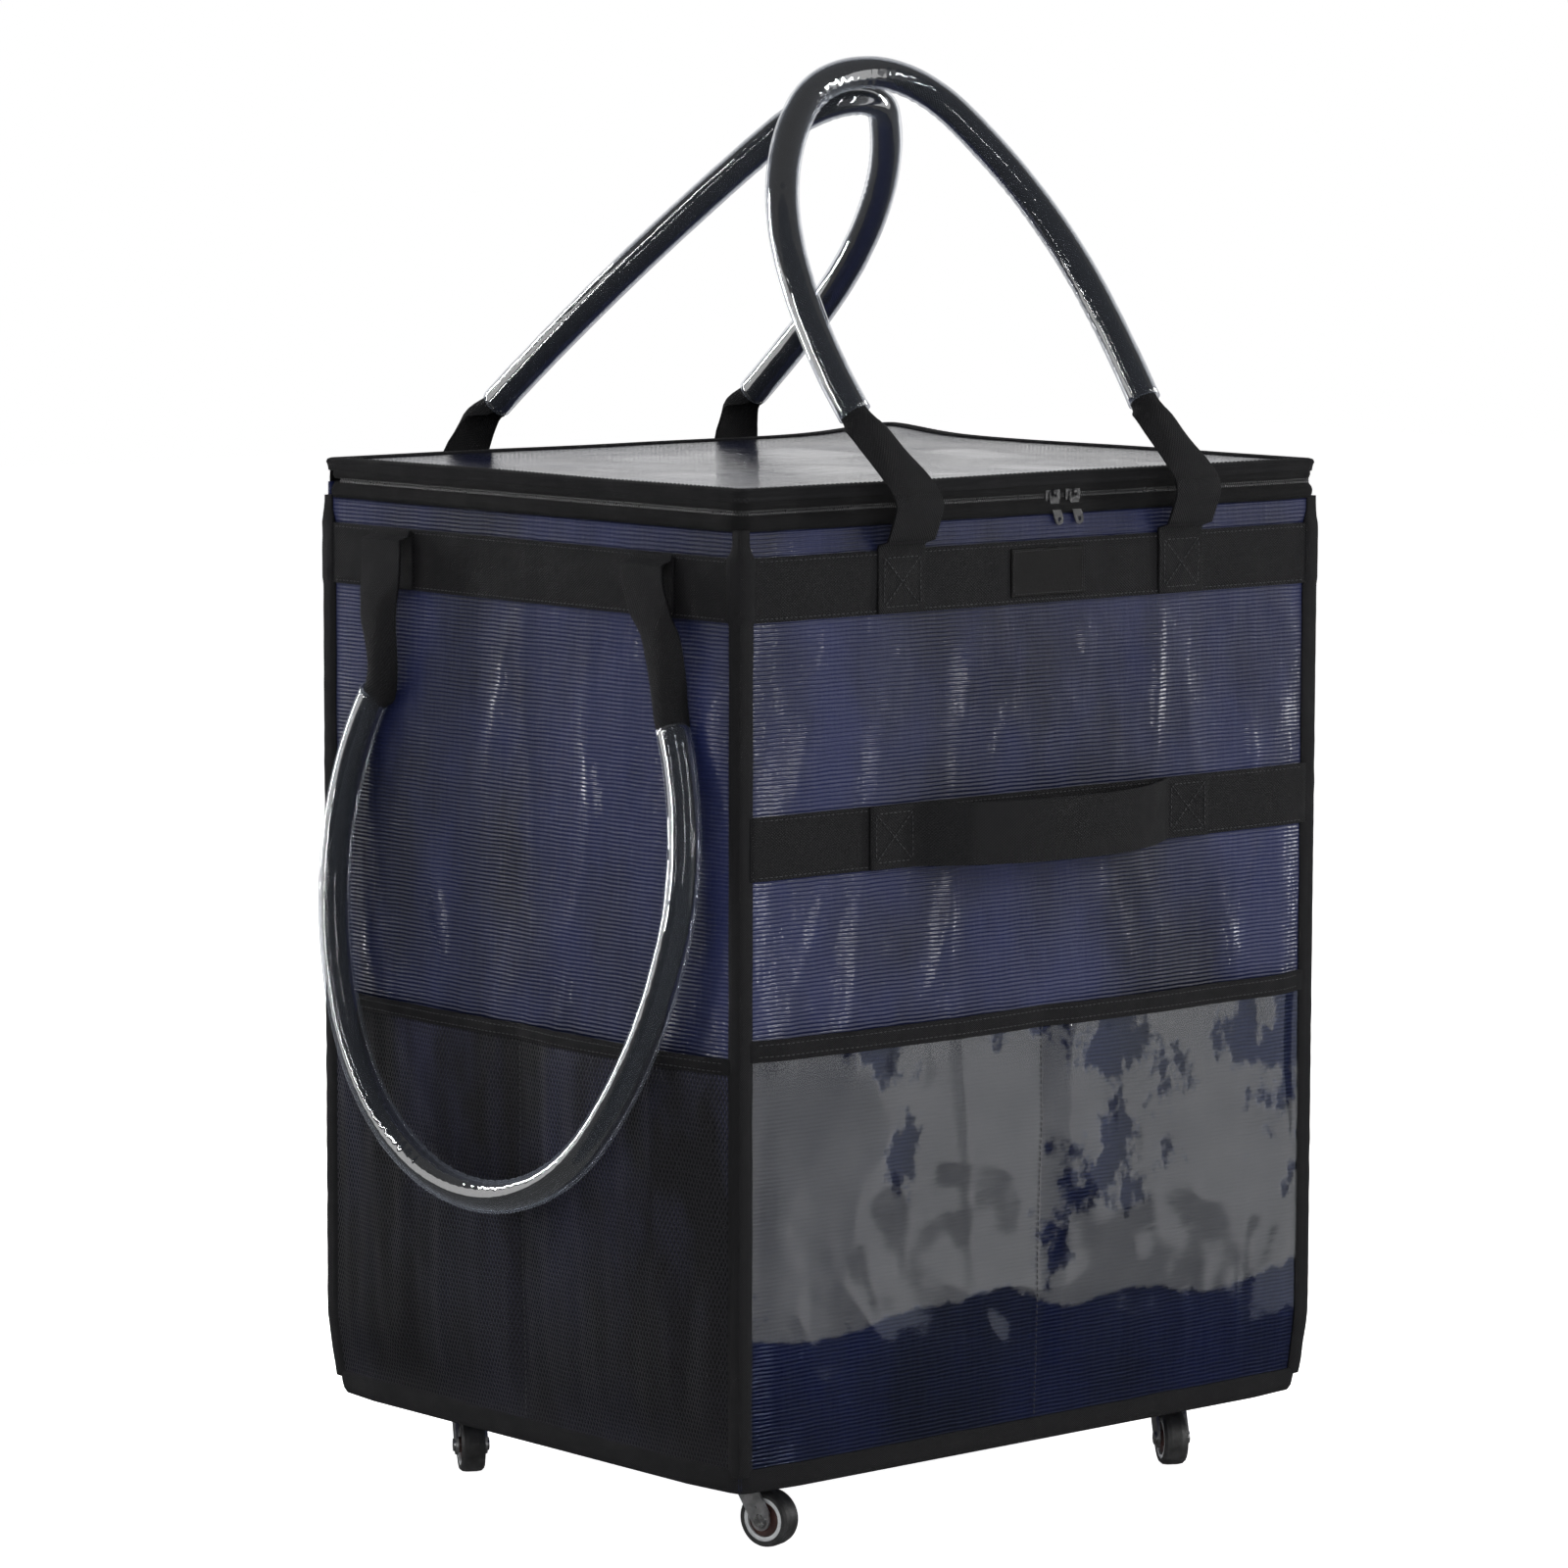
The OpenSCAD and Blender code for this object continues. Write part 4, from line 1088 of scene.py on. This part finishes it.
for corner in CORNERS:
    hub = frame["nodes"]["hub_" + corner]
    hub.data.materials.append(rim_plastic)
    low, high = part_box("axle_" + corner)
    centre = (low + high) / 2
    axis = Vector(next(j for j in frame["joints"] if j["name"] == "roll_" + corner)["axis"])
    for polygon in hub.data.polygons:
        arm = Vector(polygon.center) - centre
        if (arm - axis * arm.dot(axis)).length > RIM_R:
            polygon.material_index = 1


# ---- floor, lights and the pale room ----
def softbox(name, place, target, size, power, tall=None, mirrored=True):
    """A rectangular light that looks at target and shows in reflections if mirrored."""
    lamp = bpy.data.lights.new(name, "AREA")
    lamp.shape = "RECTANGLE"
    lamp.size, lamp.size_y, lamp.energy = size, tall or size, power
    obj = linked(name, lamp)
    obj.location = place
    obj.rotation_euler = (Vector(target) - Vector(place)).to_track_quat("-Z", "Y").to_euler()
    obj.visible_camera = False
    obj.visible_glossy = mirrored


def around(azimuth, distance, height):
    """A place round the bag, azimuth in degrees from +X towards +Y."""
    a = math.radians(azimuth)
    return (distance * math.cos(a), distance * math.sin(a), height)


MIDDLE = (0, 0, 0.32)
softbox("key", around(-131, 2.4, 2.5), MIDDLE, 1.5, 60, 1.1, mirrored=False)
softbox("card_right", around(-49, 1.7, 0.48), (0, -0.1, 0.3), 2.2, 5.6, 1.45)
softbox("card_left", around(131, 2.2, 0.7), MIDDLE, 1.2, 2.5, 1.2)
softbox("card_back", around(49, 2.6, 1.05), (0, 0, 1.05), 3.6, 17, 2.0)
softbox("top", (-0.3, 0.3, 2.8), MIDDLE, 1.2, 16, mirrored=False)
softbox("fill_back", around(96, 2.4, 1.5), MIDDLE, 1.5, 26, mirrored=False)
STRIPS = ((-24, 0.08, 15), (-66, 0.08, 16), (-84, 0.07, 12), (-131, 0.07, 8), (106, 0.08, 14),
          (152, 0.07, 12), (174, 0.05, 6))
for azimuth, width, power in STRIPS:
    softbox("strip_%d" % azimuth, around(azimuth, 2.3, 0.9), MIDDLE, width, power, 1.5)

floor_mesh = bpy.data.meshes.new("floor")
floor_mesh.from_pydata([(-8, -8, 0), (8, -8, 0), (8, 8, 0), (-8, 8, 0)], [], [(0, 1, 2, 3)])
floor = linked("floor", floor_mesh)
pale = Finish("pale_floor", Base_Color=(0.93, 0.93, 0.93, 1), Roughness=0.9, Emission_Color=(1, 1, 1, 1),
              Emission_Strength=0.95)
floor.data.materials.append(pale.material)
floor.visible_glossy = False

world = bpy.data.worlds.new("room")
bpy.context.scene.world = world
world.use_nodes = True
tree = world.node_tree
path = tree.nodes.new("ShaderNodeLightPath")
seen = tree.nodes.new("ShaderNodeMath")
seen.operation = "MAXIMUM"
tree.links.new(path.outputs["Is Camera Ray"], seen.inputs[0])
tree.links.new(path.outputs["Is Transmission Ray"], seen.inputs[1])
level = tree.nodes.new("ShaderNodeMapRange")
level.inputs["To Min"].default_value = 0.05
level.inputs["To Max"].default_value = 1.0
tree.links.new(seen.outputs[0], level.inputs["Value"])
back = tree.nodes["Background"]
back.inputs["Color"].default_value = (1, 1, 1, 1)
tree.links.new(level.outputs[0], back.inputs["Strength"])
bpy.context.scene.view_settings.view_transform = "Standard"


TUCK, TUCK_UP, TUCK_IN = 5.5 * MM, 48 * MM, 42 * MM


def settle(obj):
    """Tucks the bottom corners of the bag's soft pieces in, as folded cloth lies there."""
    co = np.empty(len(obj.data.vertices) * 3, np.float32)
    obj.data.vertices.foreach_get("co", co)
    co = co.reshape(-1, 3)
    low = 1 - np.clip((co[:, 2] - BOT_Z) / TUCK_UP, 0, 1) ** 0.7
    x, y = co[:, 0] - CX, co[:, 1] - CY
    near = np.clip(1 - (HW - np.abs(x)) / TUCK_IN, 0, 1) * np.clip(1 - (HD - np.abs(y)) / TUCK_IN, 0, 1)
    pull = low * near * TUCK
    co[:, 0] -= np.sign(x) * pull
    co[:, 1] -= np.sign(y) * pull
    co[:, 2] -= low * near * 0.5 * MM
    obj.data.vertices.foreach_set("co", co.ravel())
    obj.data.update()


for obj in list(bpy.context.scene.objects):
    if obj.type == "MESH" and obj.get("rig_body") == "bag" and "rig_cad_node" not in obj:
        settle(obj)
